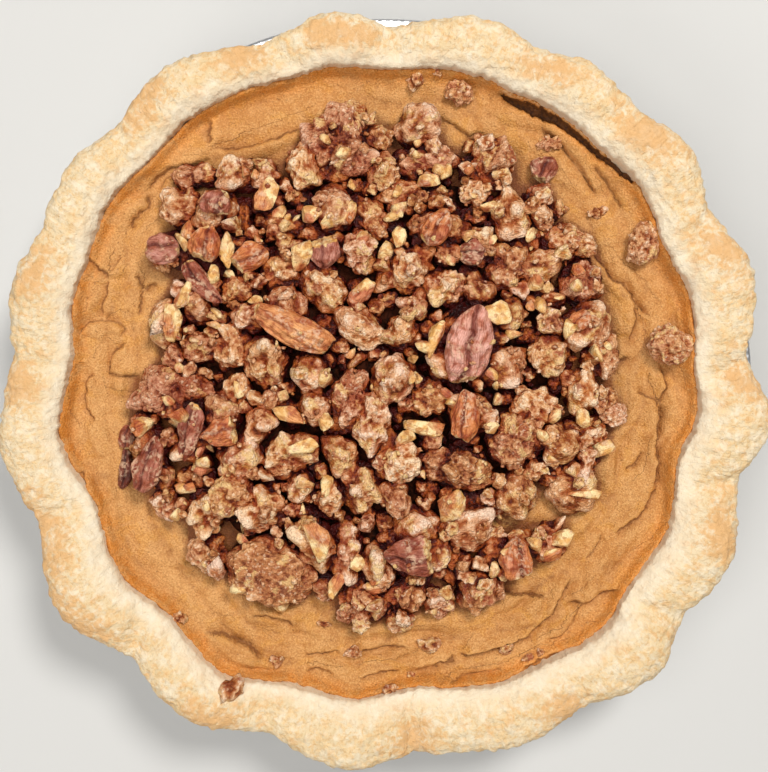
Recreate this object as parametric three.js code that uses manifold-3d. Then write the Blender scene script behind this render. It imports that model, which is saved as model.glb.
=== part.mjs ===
// Sweet potato pie in its foil tin, with a heap of pecan crumble on the filling.
// Millimetres, +Z up. The origin is the middle of the tin's flat base.
import * as THREE from "three";
import { mergeVertices } from "three/addons/utils/BufferGeometryUtils.js";
import Module from "manifold-3d";

const wasm = await Module();
wasm.setup();
const { clamp, degToRad, euclideanModulo, lerp, radToDeg, smoothstep } = THREE.MathUtils;

// Clearance between pieces that touch
const GAP = 0.3;

// The foil tin
const FOIL = 0.5;
const TIN_BASE_RADIUS = 88;
const TIN_MOUTH_RADIUS = 112.5;
const TIN_RIM_RADIUS = 122;
const TIN_DEPTH = 32;
const BASE_BEND = 3;
const BEAD_RADIUS = 1.1;
const PLEATS = 48;
const PLEAT_DEPTH = 0.6;

// The pastry
const PASTRY = 4.5;
const RIM_INNER_RADIUS = 107.5;
const RIM_OUTER_RADIUS = 124.5;
const RIM_SHOULDER = 7;
const RIM_UNDERCUT = 3;
const RIM_SEGMENTS = 96;
const RIM_POINTS = 8;
// The wall of the pastry leans this far off the tin's axis at the filling's edge.
const WALL_LEAN_X = -0.8;
const WALL_LEAN_Y = 1.5;
// Each hand-pressed flute: the crest's angle and radius, then the radius of the pinch that follows it.
const FLUTES = [
  [-4, 126, 120.5],
  [20, 126.5, 121],
  [42, 126.5, 124],
  [60, 127, 122.5],
  [74, 124.5, 118.5],
  [98, 124, 120.5],
  [124, 127, 123],
  [144, 126, 123.5],
  [164, 127, 123],
  [188, 127.5, 121.5],
  [216, 129.5, 122],
  [236, 127, 120],
  [264, 125.5, 119.5],
  [292, 125, 122.5],
  [316, 130, 123.5],
  [332, 127, 120],
];
// The shares of a flute's reach that lift the rim's crest and push its inner edge.
const FLUTE_LIFT = 0.3;
const INNER_SWAY = 0.4;
// The flaky relief of the baked rim.
const RIM_CRAG = 0.6;
// A crumb that lies on the rim: x, y, length, width and turn.
const RIM_CRUMB = [-50, -98, 8, 6.5, 40];

// The filling
const FILLING_LEVEL = 33;
const FILLING_EDGE_DROP = 1;
const WRINKLE_LINES = 6;
const WRINKLE_HEIGHT = 0.8;
const WRINKLE_PITCH = 8;
const WRINKLE_SWAY = 0.9;

// The crumble heap
const HEAP_X = -4.5;
const HEAP_Y = 7;
const HEAP_RADIUS = 84;
const HEAP_RISE = 7;
// The heap reaches further along one line through its middle.
const HEAP_STRETCH = 0.04;
const HEAP_STRETCH_TURN = 70;
const CORE_SHARE = 0.92;
const CORE_SEGMENTS = 24;
const CORE_RINGS = 4;
const CORE_FOOT = 2;
const FILLER_COUNT = 66;
const FILLER_SIZE = 19;
const FILLER_WIDTH_SHARE = 0.85;
const FILLER_TURN = 47;
const GOLDEN_SHARE = (Math.sqrt(5) - 1) / 2;
const GOLDEN_ANGLE = 2 * Math.PI * (1 - GOLDEN_SHARE);
// A piece's height as a share of its width, and how much of its width is sunk into what it lies on.
const PIECE_HEIGHT_SHARE = 0.8;
const HEAP_SINK = 0.2;
const STRAY_SINK = 1;
const PIECE_TILT = 0.25;
const PIECE_KNOBS = 0.15;
// Clumps wider, and pecans longer, than these have more faces.
const FINE_CLUMP_WIDTH = 17;
const FINE_PECAN_LENGTH = 24;
const SEED = 29;
// The largest sugared clumps: x, y, length, width and turn in degrees.
const CLUMPS = [
  [-15, 81, 26, 23, 60],
  [-64, 61, 20, 15, 100],
  [-24, 71, 13, 11, 30],
  [12, 74, 18, 13, 0],
  [32, 75, 19, 16, 20],
  [64, 38, 18, 13, 80],
  [8, 41, 15, 14, 45],
  [40, 41, 15, 14, 0],
  [58, 13, 20, 14, -20],
  [71, 17, 14, 12, 30],
  [-69, 1, 26, 20, 0],
  [-12, -4, 22, 14, 80],
  [-29, -22, 20, 15, 15],
  [-39, -60, 30, 22, -5],
  [-41, -39, 18, 16, -30],
  [2, -23, 16, 14, 0],
  [23, -23, 23, 14, -5],
  [43, -14, 18, 16, 30],
  [66, -11, 14, 12, 0],
  [64, -23, 12, 10, 60],
  [32, -62, 16, 14, 80],
  [36, -34, 17, 11, 0],
  [-3, -66, 18, 16, 20],
  [-60, -38, 16, 12, 70],
  [-34, 41, 14, 11, 60],
  [-49, 17, 18, 14, -30],
  [-10, -28, 14, 12, 90],
  [-19, 36, 20, 10, -42],
  [-13, -55, 15, 11, 70],
  [-38, 58, 15, 9, -25],
];
// The pecan pieces that stand out: x, y, length, width and turn in degrees.
const PECANS = [
  [28, 14, 26, 16, 78],
  [-31, 21, 30, 11, -27],
  [-61, 36, 17, 7, -54],
  [-79, -20, 26, 13, 80],
  [-63, -12, 20, 8, 78],
  [27, -6, 18, 9, 80],
  [10, -52, 19, 12, -5],
  [44, -55, 15, 12, 100],
  [-58, 50, 14, 10, 80],
  [-53, -11, 12, 10, 20],
  [51, -6, 16, 9, -35],
  [17, 56, 12, 9, 40],
];
// Pieces that lie apart on the filling: name, x, y, length, width and turn in degrees.
const STRAYS = [
  ["stray_pecan", 51.5, 73.5, 10, 8.5, 70],
  ["stray_clump_far", 53.5, 82, 8, 5, 10],
  ["stray_clump_right", 84, 50, 13, 9, 80],
  ["stray_clump_low_right", 93, 17, 13, 11, -20],
  ["stray_clump_top", 24, 98, 9, 7, -15],
];
// Crumbs on the filling: x, y, length, width and turn in degrees.
const CRUMBS = [
  [10, 99, 5, 4, 60],
  [70, 59, 5, 3.5, 20],
  [-10, -86, 5, 4, -20],
  [49, -85, 4.5, 4, 0],
  [-34, -88, 4.5, 4, 70],
  [17, -83, 6, 4, 10],
];

const FOIL_FINISH = new THREE.MeshStandardMaterial({ color: 0xc9ccd0, roughness: 0.35, metalness: 1 });
const PASTRY_FINISH = new THREE.MeshStandardMaterial({ color: 0xecd3a2, roughness: 0.8, metalness: 0 });
const FILLING_FINISH = new THREE.MeshStandardMaterial({ color: 0xbd7c38, roughness: 0.6, metalness: 0 });
const CRUMBLE_FINISH = new THREE.MeshStandardMaterial({ color: 0xa06a3c, roughness: 0.65, metalness: 0 });
const PECAN_FINISH = new THREE.MeshStandardMaterial({ color: 0x93503a, roughness: 0.5, metalness: 0 });

// Numbers from 0 to 1 that are the same on each run.
function seeded(seed) {
  let state = seed;
  return () => {
    state = (state * 16807) % 2147483647;
    return state / 2147483647;
  };
}

// A closed geometry as a solid. Shared vertices are merged and collapsed triangles are dropped.
function solidOf(geometry) {
  const bare = geometry.clone();
  bare.deleteAttribute("normal");
  bare.deleteAttribute("uv");
  const merged = mergeVertices(bare, 1e-3);
  const corners = merged.index.array;
  const kept = [];
  for (let i = 0; i < corners.length; i += 3) {
    const [a, b, c] = corners.subarray(i, i + 3);
    if (a !== b && b !== c && c !== a) kept.push(a, b, c);
  }
  const vertProperties = merged.getAttribute("position").array;
  const triVerts = new Uint32Array(kept);
  return new wasm.Manifold(new wasm.Mesh({ numProp: 3, vertProperties, triVerts }));
}

// A solid as a geometry that a mesh can show.
function geometryOf(solid) {
  const { vertProperties, triVerts } = solid.getMesh();
  const geometry = new THREE.BufferGeometry();
  geometry.setAttribute("position", new THREE.BufferAttribute(vertProperties, 3));
  geometry.setIndex(new THREE.BufferAttribute(triVerts, 1));
  geometry.computeVertexNormals();
  return geometry;
}

// A profile turned about +Z. Each point of it has r and z, and place(point, angle) says where it goes there.
// With crossed set, each four-sided face is split along its other diagonal.
function turned(profile, segments, place, crossed = false) {
  const outline = profile.map(({ r, z }) => new THREE.Vector2(r, z));
  const geometry = new THREE.LatheGeometry(outline, segments).rotateX(Math.PI / 2);
  const corners = geometry.index.array;
  for (let i = 0; crossed && i < corners.length; i += 6) {
    const [a, b, d, c] = corners.slice(i, i + 4);
    corners.set([a, b, c, a, c, d], i);
  }
  const position = geometry.getAttribute("position");
  for (let i = 0; i < position.count; i++) {
    const angle = ((Math.floor(i / profile.length) % segments) * 2 * Math.PI) / segments;
    const { r, z } = place(profile[i % profile.length], angle);
    position.setXYZ(i, r * Math.cos(angle), r * Math.sin(angle), z);
  }
  return solidOf(geometry);
}

// The inside radius of the tin's wall at a height.
function tinRadius(z) {
  return lerp(TIN_BASE_RADIUS, TIN_MOUTH_RADIUS, clamp(z / TIN_DEPTH, 0, 1));
}

// The foil tin: a flat base, a pleated wall, a flat rim and a bead curled under its edge.
function makeTin() {
  const beadMiddle = TIN_RIM_RADIUS - BEAD_RADIUS;
  const rimTop = TIN_DEPTH + FOIL;
  const wallTop = TIN_DEPTH - BASE_BEND;
  const wallFoot = TIN_BASE_RADIUS - BASE_BEND;
  const profile = [
    { r: 0, z: 0 },
    { r: wallFoot + FOIL, z: 0 },
    { r: tinRadius(BASE_BEND) + FOIL, z: BASE_BEND - FOIL, pleat: 1 },
    { r: tinRadius(wallTop) + FOIL, z: wallTop, pleat: 1 },
    { r: TIN_MOUTH_RADIUS + FOIL, z: TIN_DEPTH },
    { r: beadMiddle - BEAD_RADIUS, z: TIN_DEPTH },
    { r: beadMiddle, z: rimTop - 2 * BEAD_RADIUS },
    { r: TIN_RIM_RADIUS, z: rimTop - BEAD_RADIUS },
    { r: beadMiddle, z: rimTop },
    { r: TIN_MOUTH_RADIUS, z: rimTop },
    { r: tinRadius(wallTop), z: wallTop, pleat: 1 },
    { r: tinRadius(BASE_BEND), z: BASE_BEND, pleat: 1 },
    { r: wallFoot, z: FOIL },
    { r: 0, z: FOIL },
  ];
  return turned(profile, 2 * PLEATS, ({ r, z, pleat = 0 }, angle) => ({
    r: r - (pleat * PLEAT_DEPTH * (1 + Math.cos(PLEATS * angle))) / 2,
    z,
  }));
}

// How far the fluted edge stands out of the mean rim at an angle, with a pinch between each two crests.
function flute(angle) {
  const first = FLUTES[0][0];
  const turn = first + euclideanModulo(radToDeg(angle) - first, 360);
  const index = FLUTES.findLastIndex(([start]) => start <= turn);
  const [from, crest, pinch] = FLUTES[index];
  const [to, next] = FLUTES[index + 1] ?? [first + 360, FLUTES[0][1]];
  const share = (turn - from) / (to - from);
  const line = lerp(crest, next, smoothstep(share, 0, 1));
  const depth = (crest + next) / 2 - pinch;
  return line - depth * Math.sin(Math.PI * share) ** 2 - RIM_OUTER_RADIUS;
}

// How far the pastry's inner wall is pushed outwards at a height and an angle.
function wallPush(z, angle) {
  const lean = WALL_LEAN_X * Math.cos(angle) + WALL_LEAN_Y * Math.sin(angle);
  return smoothstep(z, TIN_DEPTH / 3, TIN_DEPTH) * (lean + INNER_SWAY * flute(angle));
}

// The radius of the pastry's inner wall, before it is pushed.
function wallRadius(z) {
  return tinRadius(z) - PLEAT_DEPTH - GAP - PASTRY;
}

// The rim of the pastry, from its outer underside over the crest to its inner edge.
function rimProfile(seat) {
  const middle = (RIM_INNER_RADIUS + RIM_OUTER_RADIUS) / 2;
  const half = (RIM_OUTER_RADIUS - RIM_INNER_RADIUS) / 2;
  const points = [];
  for (let i = 0; i <= RIM_POINTS; i++) {
    const turn = lerp(-Math.PI / 4, Math.PI, i / RIM_POINTS);
    const height = Math.sin(turn) > 0 ? RIM_SHOULDER : RIM_UNDERCUT;
    const z = seat + RIM_UNDERCUT + height * Math.sin(turn);
    points.push({ r: middle + half * Math.cos(turn), z, turn, crest: Math.max(0, Math.sin(turn)) });
  }
  return points;
}

// The pastry: a shell that lines the tin, with a rounded rim pressed into flutes and a crumb baked onto it.
function makePastry(random) {
  const under = FOIL + GAP;
  const floor = under + PASTRY;
  const seat = TIN_DEPTH + FOIL + GAP;
  const wallTop = TIN_DEPTH - BASE_BEND;
  const profile = [
    { r: 0, z: under },
    { r: wallRadius(0) + PASTRY - BASE_BEND, z: under },
    { r: wallRadius(BASE_BEND) + PASTRY, z: BASE_BEND + FOIL },
    { r: wallRadius(wallTop) + PASTRY, z: wallTop },
    { r: TIN_MOUTH_RADIUS - GAP, z: seat },
    ...rimProfile(seat),
    { r: wallRadius(TIN_DEPTH), z: TIN_DEPTH, inside: true },
    { r: wallRadius(TIN_DEPTH / 2), z: TIN_DEPTH / 2, inside: true },
    { r: wallRadius(floor), z: floor, inside: true },
    { r: 0, z: floor },
  ];
  const shell = turned(profile, RIM_SEGMENTS, ({ r, z, turn, crest, inside }, angle) => {
    if (inside) return { r: r + wallPush(z, angle), z };
    if (turn === undefined) return { r, z };
    const share = (r - RIM_INNER_RADIUS) / (RIM_OUTER_RADIUS - RIM_INNER_RADIUS);
    const push = lerp(wallPush(TIN_DEPTH, angle), flute(angle), share);
    const crag = RIM_CRAG * crest * Math.sin(37 * angle + 9 * turn) * Math.sin(17 * angle - 4 * turn);
    return {
      r: r + push + crag * Math.cos(turn),
      z: z + crest * FLUTE_LIFT * flute(angle) + crag * Math.sin(turn),
    };
  });
  return shell.add(makePiece(RIM_CRUMB, seat + RIM_SHOULDER - STRAY_SINK, 0, random));
}

// How far a wrinkle line strays outwards from its ring at an angle.
function wrinkleSway(angle) {
  return WRINKLE_SWAY * (Math.sin(3 * angle) + 0.7 * Math.sin(7 * angle + 1));
}

// The filling: it fills the pastry shell, and its top drops to the pastry along wrinkles that follow the edge.
function makeFilling() {
  const floor = FOIL + PASTRY + 2 * GAP;
  const edge = wallRadius(TIN_DEPTH) - GAP;
  const profile = [
    { r: 0, z: floor },
    { r: wallRadius(floor) - GAP, z: floor, push: 1 },
    { r: wallRadius(TIN_DEPTH / 2) - GAP, z: TIN_DEPTH / 2, push: 1 },
    { r: edge, z: FILLING_LEVEL - FILLING_EDGE_DROP, push: 1 },
  ];
  for (let line = 1; line <= WRINKLE_LINES; line++) {
    const height = WRINKLE_HEIGHT * (line % 2 ? 1 : -1) * (1 - line / (WRINKLE_LINES + 1));
    profile.push({ r: edge - (line * WRINKLE_PITCH) / 2, z: FILLING_LEVEL + height, push: 1, sway: 1 });
  }
  profile.push({ r: 0, z: FILLING_LEVEL });
  // Its wall is split along the same diagonals as the pastry's, so that the two stay clear of each other.
  const place = ({ r, z, push = 0, sway = 0 }, angle) => ({
    r: r + push * wallPush(z, angle) + sway * wrinkleSway(angle),
    z,
  });
  return turned(profile, RIM_SEGMENTS, place, true);
}

// A knobbly lump of the given length, width and height about the origin.
function makeLump(length, width, height, detail, random) {
  const geometry = new THREE.IcosahedronGeometry(0.5, detail);
  const position = geometry.getAttribute("position");
  const reach = new Map();
  for (let i = 0; i < position.count; i++) {
    const point = [position.getX(i), position.getY(i), position.getZ(i)];
    const corner = point.map((value) => value.toFixed(3)).join();
    if (!reach.has(corner)) reach.set(corner, 1 + PIECE_KNOBS * (2 * random() - 1));
    position.setXYZ(i, ...point.map((value) => value * reach.get(corner)));
  }
  return geometry.scale(length, width, height);
}

// A piece lying at x, y with its underside at a height, tilted a little, and its length turned from +X.
function makePiece([x, y, length, width, turn], underside, detail, random) {
  const height = PIECE_HEIGHT_SHARE * width;
  const geometry = makeLump(length, width, height, detail, random);
  geometry.rotateX(PIECE_TILT * (2 * random() - 1)).rotateZ(degToRad(turn));
  return solidOf(geometry.translate(x, y, underside + height / 2));
}

// How far the heap reaches from its middle at an angle.
function heapReach(angle) {
  return HEAP_RADIUS * (1 + HEAP_STRETCH * Math.cos(2 * (angle - degToRad(HEAP_STRETCH_TURN))));
}

// The height of the heap's core at a share of its reach.
function coreHeight(share) {
  return FILLING_LEVEL + HEAP_RISE * Math.max(0, 1 - share ** 2);
}

// The heap's core: a low mound, with its foot inside the filling.
function makeCore() {
  const profile = [{ r: 0, z: FILLING_LEVEL - CORE_FOOT }];
  for (let ring = CORE_RINGS; ring >= 0; ring--) {
    const share = ring / CORE_RINGS;
    profile.push({ r: share, z: coreHeight(share) });
  }
  const place = ({ r, z }, angle) => ({ r: r * CORE_SHARE * heapReach(angle), z });
  return turned(profile, CORE_SEGMENTS, place).translate(HEAP_X, HEAP_Y, 0);
}

// The height at which a piece of the heap lies on the core.
function heapSeat([x, y, , width]) {
  const reach = CORE_SHARE * heapReach(Math.atan2(y - HEAP_Y, x - HEAP_X));
  return coreHeight(Math.hypot(x - HEAP_X, y - HEAP_Y) / reach) - HEAP_SINK * width;
}

// The pieces between the large ones: even on a spiral, and left out where a large piece lies.
function fillerPieces() {
  const pieces = [];
  for (let i = 0; i < FILLER_COUNT; i++) {
    const angle = i * GOLDEN_ANGLE;
    const reach = (heapReach(angle) - FILLER_SIZE / 2) * Math.sqrt((i + 0.5) / FILLER_COUNT);
    const x = HEAP_X + reach * Math.cos(angle);
    const y = HEAP_Y + reach * Math.sin(angle);
    const size = FILLER_SIZE * lerp(0.8, 1.2, (i * GOLDEN_SHARE) % 1);
    const free = [...CLUMPS, ...PECANS].every(([px, py, , width]) => Math.hypot(x - px, y - py) > width / 2);
    if (free) pieces.push([x, y, size, FILLER_WIDTH_SHARE * size, i * FILLER_TURN]);
  }
  return pieces;
}

// The heap: its core with the pieces that show fused on, trimmed to lie on the filling.
function makeHeap(filling, random) {
  const clumpDetail = ([, , , width]) => (width > FINE_CLUMP_WIDTH ? 1 : 0);
  const pecanDetail = ([, , length]) => (length > FINE_PECAN_LENGTH ? 1 : 0);
  const pieces = [
    ...CLUMPS.map((piece) => makePiece(piece, heapSeat(piece), clumpDetail(piece), random)),
    ...PECANS.map((piece) => makePiece(piece, heapSeat(piece), pecanDetail(piece), random)),
    ...fillerPieces().map((piece) => makePiece(piece, heapSeat(piece), 0, random)),
  ];
  const joined = wasm.Manifold.union([makeCore(), ...pieces]).subtract(filling.translate(0, 0, GAP));
  // The outer body alone: closed hollows between the pieces are filled.
  return joined.decompose().reduce((most, body) => (body.volume() > most.volume() ? body : most));
}

// The filling with its crumbs fused on.
function addCrumbs(filling, random) {
  const crumbs = CRUMBS.map((crumb) => makePiece(crumb, FILLING_LEVEL - STRAY_SINK, 0, random));
  return wasm.Manifold.union([filling, ...crumbs]);
}

// A piece that lies apart on the filling, trimmed to rest on it.
function makeStray(place, filling, random) {
  return makePiece(place, FILLING_LEVEL - STRAY_SINK, 0, random).subtract(filling.translate(0, 0, GAP));
}

function named(name, solid, material) {
  const mesh = new THREE.Mesh(geometryOf(solid), material);
  mesh.name = name;
  return mesh;
}

const random = seeded(SEED);
const bareFilling = makeFilling();
const pie = new THREE.Group();
pie.add(named("foil_tin", makeTin(), FOIL_FINISH));
pie.add(named("pastry_crust", makePastry(random), PASTRY_FINISH));
pie.add(named("sweet_potato_filling", addCrumbs(bareFilling, random), FILLING_FINISH));
pie.add(named("pecan_crumble_heap", makeHeap(bareFilling, random), CRUMBLE_FINISH));
for (const [name, ...place] of STRAYS) {
  const finish = name === "stray_pecan" ? PECAN_FINISH : CRUMBLE_FINISH;
  pie.add(named(name, makeStray(place, bareFilling, random), finish));
}

export default pie;
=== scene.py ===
"""A sweet potato pie in its foil tin, heaped with sugared pecan crumble and seen from above."""

import math

import bmesh
import bpy
import numpy as np
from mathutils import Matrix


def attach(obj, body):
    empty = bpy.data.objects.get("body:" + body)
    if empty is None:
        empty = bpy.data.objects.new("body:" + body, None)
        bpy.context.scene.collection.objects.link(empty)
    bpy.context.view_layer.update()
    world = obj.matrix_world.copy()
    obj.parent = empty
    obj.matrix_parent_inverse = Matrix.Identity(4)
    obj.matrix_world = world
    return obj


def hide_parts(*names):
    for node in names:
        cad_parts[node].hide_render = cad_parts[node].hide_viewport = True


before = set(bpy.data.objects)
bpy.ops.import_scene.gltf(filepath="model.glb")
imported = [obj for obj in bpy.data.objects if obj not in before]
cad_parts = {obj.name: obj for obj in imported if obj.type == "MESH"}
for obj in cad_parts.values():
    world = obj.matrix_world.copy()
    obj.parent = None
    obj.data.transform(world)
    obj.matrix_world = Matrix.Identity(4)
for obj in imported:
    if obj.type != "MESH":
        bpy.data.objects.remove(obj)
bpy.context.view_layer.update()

# Lengths are in millimetres until a mesh is written, in metres.
MM = 0.001
FULL_TURN = 2 * math.pi

# Foil tin
FOIL = 0.5
TIN_BASE_RADIUS = 88.0
TIN_MOUTH_RADIUS = 112.5
TIN_RIM_RADIUS = 122.0
TIN_DEPTH = 32.0
BASE_BEND = 3.0
BEAD_RADIUS = 1.1
PLEATS = 48
PLEAT_DEPTH = 0.6
RIM_RIBS = 320
RIB_DEPTH = 0.12
FOIL_CRUMPLE = 0.15
TIN_STEPS = 960

# Pastry
PASTRY = 4.5
GAP = 0.3
PASTRY_UNDERSIDE = 0.8
PASTRY_FLOOR = 5.3
RIM_SEAT = 32.8
RIM_INNER = 107.5
RIM_OUTER = 124.5
RIM_UNDERCUT = 3.0
RIM_SHOULDER = 7.0
RIM_LIFT = 0.3
RIM_FULLNESS = 0.55
INNER_FULLNESS = 1.1
INNER_LIFT = 0.45
# Heights of the pastry's relief, and a pinch's depth as a share of how far its crest stands out
PASTRY_LUMPS = 0.45
BLISTERS = 0.3
WRINKLES = 0.4
FLAKES = 0.4
PINCH_DEPTH = 0.3
RIM_STEPS = 1080
RIM_ROWS = 60
# Flutes: angle and radius of the crest, then of the pinch after it
FLUTES = [
    (-3.5, 127.3, 5.5, 120.0), (20, 126.2, 29, 121.5), (40, 126.5, 49.5, 123.6),
    (58, 125.4, 66, 122.2), (75, 124.8, 89, 119.4), (98, 124.2, 108, 119.9),
    (124, 126.5, 135, 122.8), (144, 125.8, 154, 123.6), (163, 126.0, 174, 122.4),
    (188, 126.6, 200, 122.5), (214, 130.0, 225.5, 122.8), (239, 127.2, 250.5, 121.0),
    (264, 126.8, 275, 121.2), (293, 126.2, 302, 124.2), (314, 130.5, 323, 124.4),
    (334, 127.2, 346, 120.6),
]
# How far the filling's edge lies inside an even round, by the angle
EDGE_DRAWN_IN = [
    (-10, 5.6), (0, 2.8), (12, 2.1), (25, 2.9), (40, 1.0), (60, 0.4), (80, 0.5), (96, 1.2),
    (112, -0.9), (128, 0.8), (142, 0.2), (150, 0.6), (172, 4.4), (188, 0.6), (200, 4.6), (215, 3.1),
    (226, 2.8), (240, -1.6), (252, 2.3), (277, 5.4), (292, 1.9), (308, -0.4), (322, 2.0),
    (335, 2.2),
]
# Browned places on the rim: angle, share of the way from inner to outer edge, reach
BROWNED = [
    (96, 0.6, 14), (129, 0.75, 10), (64, 0.6, 12), (45, 0.65, 13), (24, 0.7, 13), (202, 0.85, 18),
    (216, 0.9, 14), (160, 0.7, 9), (178, 0.8, 9), (242, 0.7, 10), (275, 0.75, 9), (300, 0.8, 8),
    (338, 0.7, 10), (3, 0.75, 9), (112, 0.7, 9),
]

# Filling
FILLING_FLOOR = 5.6
FILLING_EDGE = 107.0
FILLING_LEVEL = 33.0
FILLING_STEPS = 900
# Heights of the filling's relief
SWELL = 0.6
RIPPLES = 0.4
FOLDS = 3.4
FINE_FOLDS = 3.2
FOLD_SINK = 1.5
LIP_RISE = 1.2
CLIMB_RISE = 2.7
GROOVE_DEPTH = 3.0
BANK_RISE = 2.6
BANK_DIP = 1.0
CREASE_CUT = 0.9
# Creases seen in the filling: a chain of places, half the crease's width and how far its left bank
# stands over its right
CREASES = [
    (
        [(23, -86), (28, -87), (38, -84.5), (48, -80.5), (53, -75.5), (56, -73.5), (57.5, -69), (63, -59.5)],
        0.35,
        1.0,
    ),
    ([(54, -67.5), (50, -66.5), (46, -66), (38.5, -66)], 0.3, 0.6),
    ([(61, -68.5), (66, -69), (69, -68.5), (71, -66), (75, -65), (78, -63.5)], 0.35, 0.7),
    ([(54, -81), (59, -80.5), (62, -77.5), (63.5, -74.5), (66, -69)], 0.2, 0.5),
    ([(10.5, -92), (14.5, -91), (18.5, -90), (22.5, -88.5), (23.5, -86.5)], 0.5, 0.4),
    ([(-8, -85.5), (-1.5, -84.5), (3.5, -84), (8, -84)], 0.25, 0.5),
    ([(46, -91), (49.5, -89), (54, -86.5), (59, -85)], 0.35, 0.3),
    ([(21, -95.5), (26.5, -93.5), (34, -92.5), (40, -91.5)], 0.2, 0.4),
    (
        [(-40, -88), (-43.5, -85.5), (-45.5, -83), (-49.5, -82), (-53, -80), (-56.5, -79.5), (-60, -79)],
        0.35,
        0.8,
    ),
    ([(-44.5, -73.5), (-40, -73), (-35.5, -74), (-32, -75.5), (-30, -78)], 0.25, 0.5),
    ([(-27, -87), (-22.5, -86.5), (-17.5, -86), (-14.5, -85)], 0.25, 0.5),
    ([(-26, -92), (-21.5, -91.5), (-17.5, -92.5)], 0.2, 0.4),
    ([(-8.5, -94.5), (-5, -93.5), (-2, -92.5), (6, -92)], 0.25, 0.5),
    ([(87, 25.5), (82, 30), (80, 34), (77, 37), (74, 38), (72, 41.5), (69, 45), (66.5, 49)], 0.3, 0.8),
    ([(79.5, 18), (81.5, 22), (82, 25.5), (81, 29.5)], 0.25, 0.5),
    ([(72.5, 10.5), (75, 12), (77.5, 12), (80, 13)], 0.6, 0.3),
    ([(90, -16), (90, -10), (90.5, -5), (91, 0), (92.5, 4), (91.5, 6.5), (90, 11)], 0.3, 0.6),
    ([(90, -3.5), (89, -1.5), (86, 0), (82.5, 1.5)], 0.25, 0.5),
    ([(-95.5, 45), (-93.5, 43.5), (-92, 41.5), (-90, 40.5), (-89.5, 38)], 0.4, 0.5),
    ([(-89.5, 38), (-90, 34), (-91.5, 30), (-92, 26)], 0.25, 0.5),
    ([(-80, 26), (-79, 30), (-78.5, 34.5), (-79.5, 38.5), (-81.5, 39.5)], 0.25, 0.5),
    ([(-78, 34.5), (-76.5, 36), (-74.5, 36.5), (-73.5, 37)], 0.5, 0.3),
    ([(-84.5, 45.5), (-86.5, 43.5), (-88, 41)], 0.2, 0.4),
    ([(-81.5, 53.5), (-81, 57.5), (-78, 60.5), (-76, 61.5), (-76.5, 66)], 0.25, 0.6),
    ([(-67, 72), (-69.5, 71), (-71.5, 69), (-72.5, 66.5)], 0.2, 0.4),
    ([(-86, 19), (-85, 22), (-86.5, 24.5), (-93, 25), (-96.5, 24), (-98.5, 22), (-99, 19.5)], 0.2, 0.6),
    (
        [(-84, 18), (-87, 15.5), (-89, 13.5), (-90, 10), (-90, 8), (-86, 7), (-82.5, 6.5), (-79.5, 7)],
        0.25,
        0.7,
    ),
    ([(-94, 7), (-96.5, 6.5), (-97.5, 4), (-98, 0), (-97.5, -4), (-95.5, -6.5), (-94.5, -8.5)], 0.25, 0.6),
    (
        [(-101, -24.5), (-98.5, -25), (-98, -28.5), (-99, -29), (-97, -32.5), (-95, -34), (-93, -37.5)],
        0.3,
        0.4,
    ),
    ([(-56, 89), (-55.5, 87), (-56.5, 85), (-55.5, 83), (-56, 81)], 0.55, 0.3),
    ([(-18, 90.5), (-24.5, 87.5), (-33, 84), (-42.5, 81), (-49, 80), (-55.5, 80.5)], 0.25, 0.7),
    ([(-76.5, 66), (-75.5, 68.5), (-72.5, 71.5), (-68, 74), (-61, 75), (-55.5, 77.5)], 0.25, 0.6),
    ([(76, -46), (79.5, -43.5), (83.5, -40.5), (86, -37.5), (88.5, -33), (90, -28)], 0.4, 0.6),
    ([(89, -31), (90, -28), (90.5, -22.5), (89.5, -16), (90.5, -9), (91, -2.5)], 0.45, 0.9),
    ([(67, -54.5), (70, -50), (72, -46)], 0.2, 0.2),
    ([(79, -24), (83, -22.5), (85, -17.5)], 0.25, 0.4),
    ([(50, 88), (57.5, 81), (62, 75), (66.5, 69), (69, 64.5)], 0.25, 0.8),
    ([(67, 75.5), (71, 70.5), (74.5, 65.5), (77.5, 61)], 0.2, 0.7),
    ([(12, 92), (17, 90), (22, 88), (27, 84), (33, 86)], 0.2, 0.5),
]
CREASE_REACH = 6.0
# Half width from which a crease is marked in full, and half widths away where none is near
FULL_CREASE = 0.28
FAR_FROM_CREASES = 20.0
# The groove where the filling has drawn away from the crust: angle, half width, distance inside the
# filling's edge
GROOVE = [
    (40, 0.0, 0.9), (43, 1.0, 1.0), (47.5, 0.6, 1.4), (54, 0.8, 2.0), (62, 1.5, 2.7),
    (66, 0.9, 2.5), (70, 0.0, 2.0),
]

# Crumble heap
HEAP_CENTRE = (-4.5, 7.0)
HEAP_RADIUS = 84.0
HEAP_STRETCH = 0.04
HEAP_STRETCH_ANGLE = 70.0
CORE_SHARE = 0.78
HEAP_INNER_SHARE = 0.8
CORE_RISE = 3.5
# Ring steps and rows of the core's mesh
CORE_STEPS = 360
CORE_ROWS = 70
SEED = 29

# Camera: a circle as wide as the tin's rim, at the height of the crust's edge, is seen with a radius of
# RIM_RADIUS_SEEN pixels.
PICTURE_HEIGHT = 772
RIM_RADIUS_SEEN = 373
EDGE_LEVEL = 38.2
SENSOR = 36.0
CAMERA_HEIGHT = 480.0
CAMERA_NORTH = 50.0
AIM_NORTH = 2.9

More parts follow.
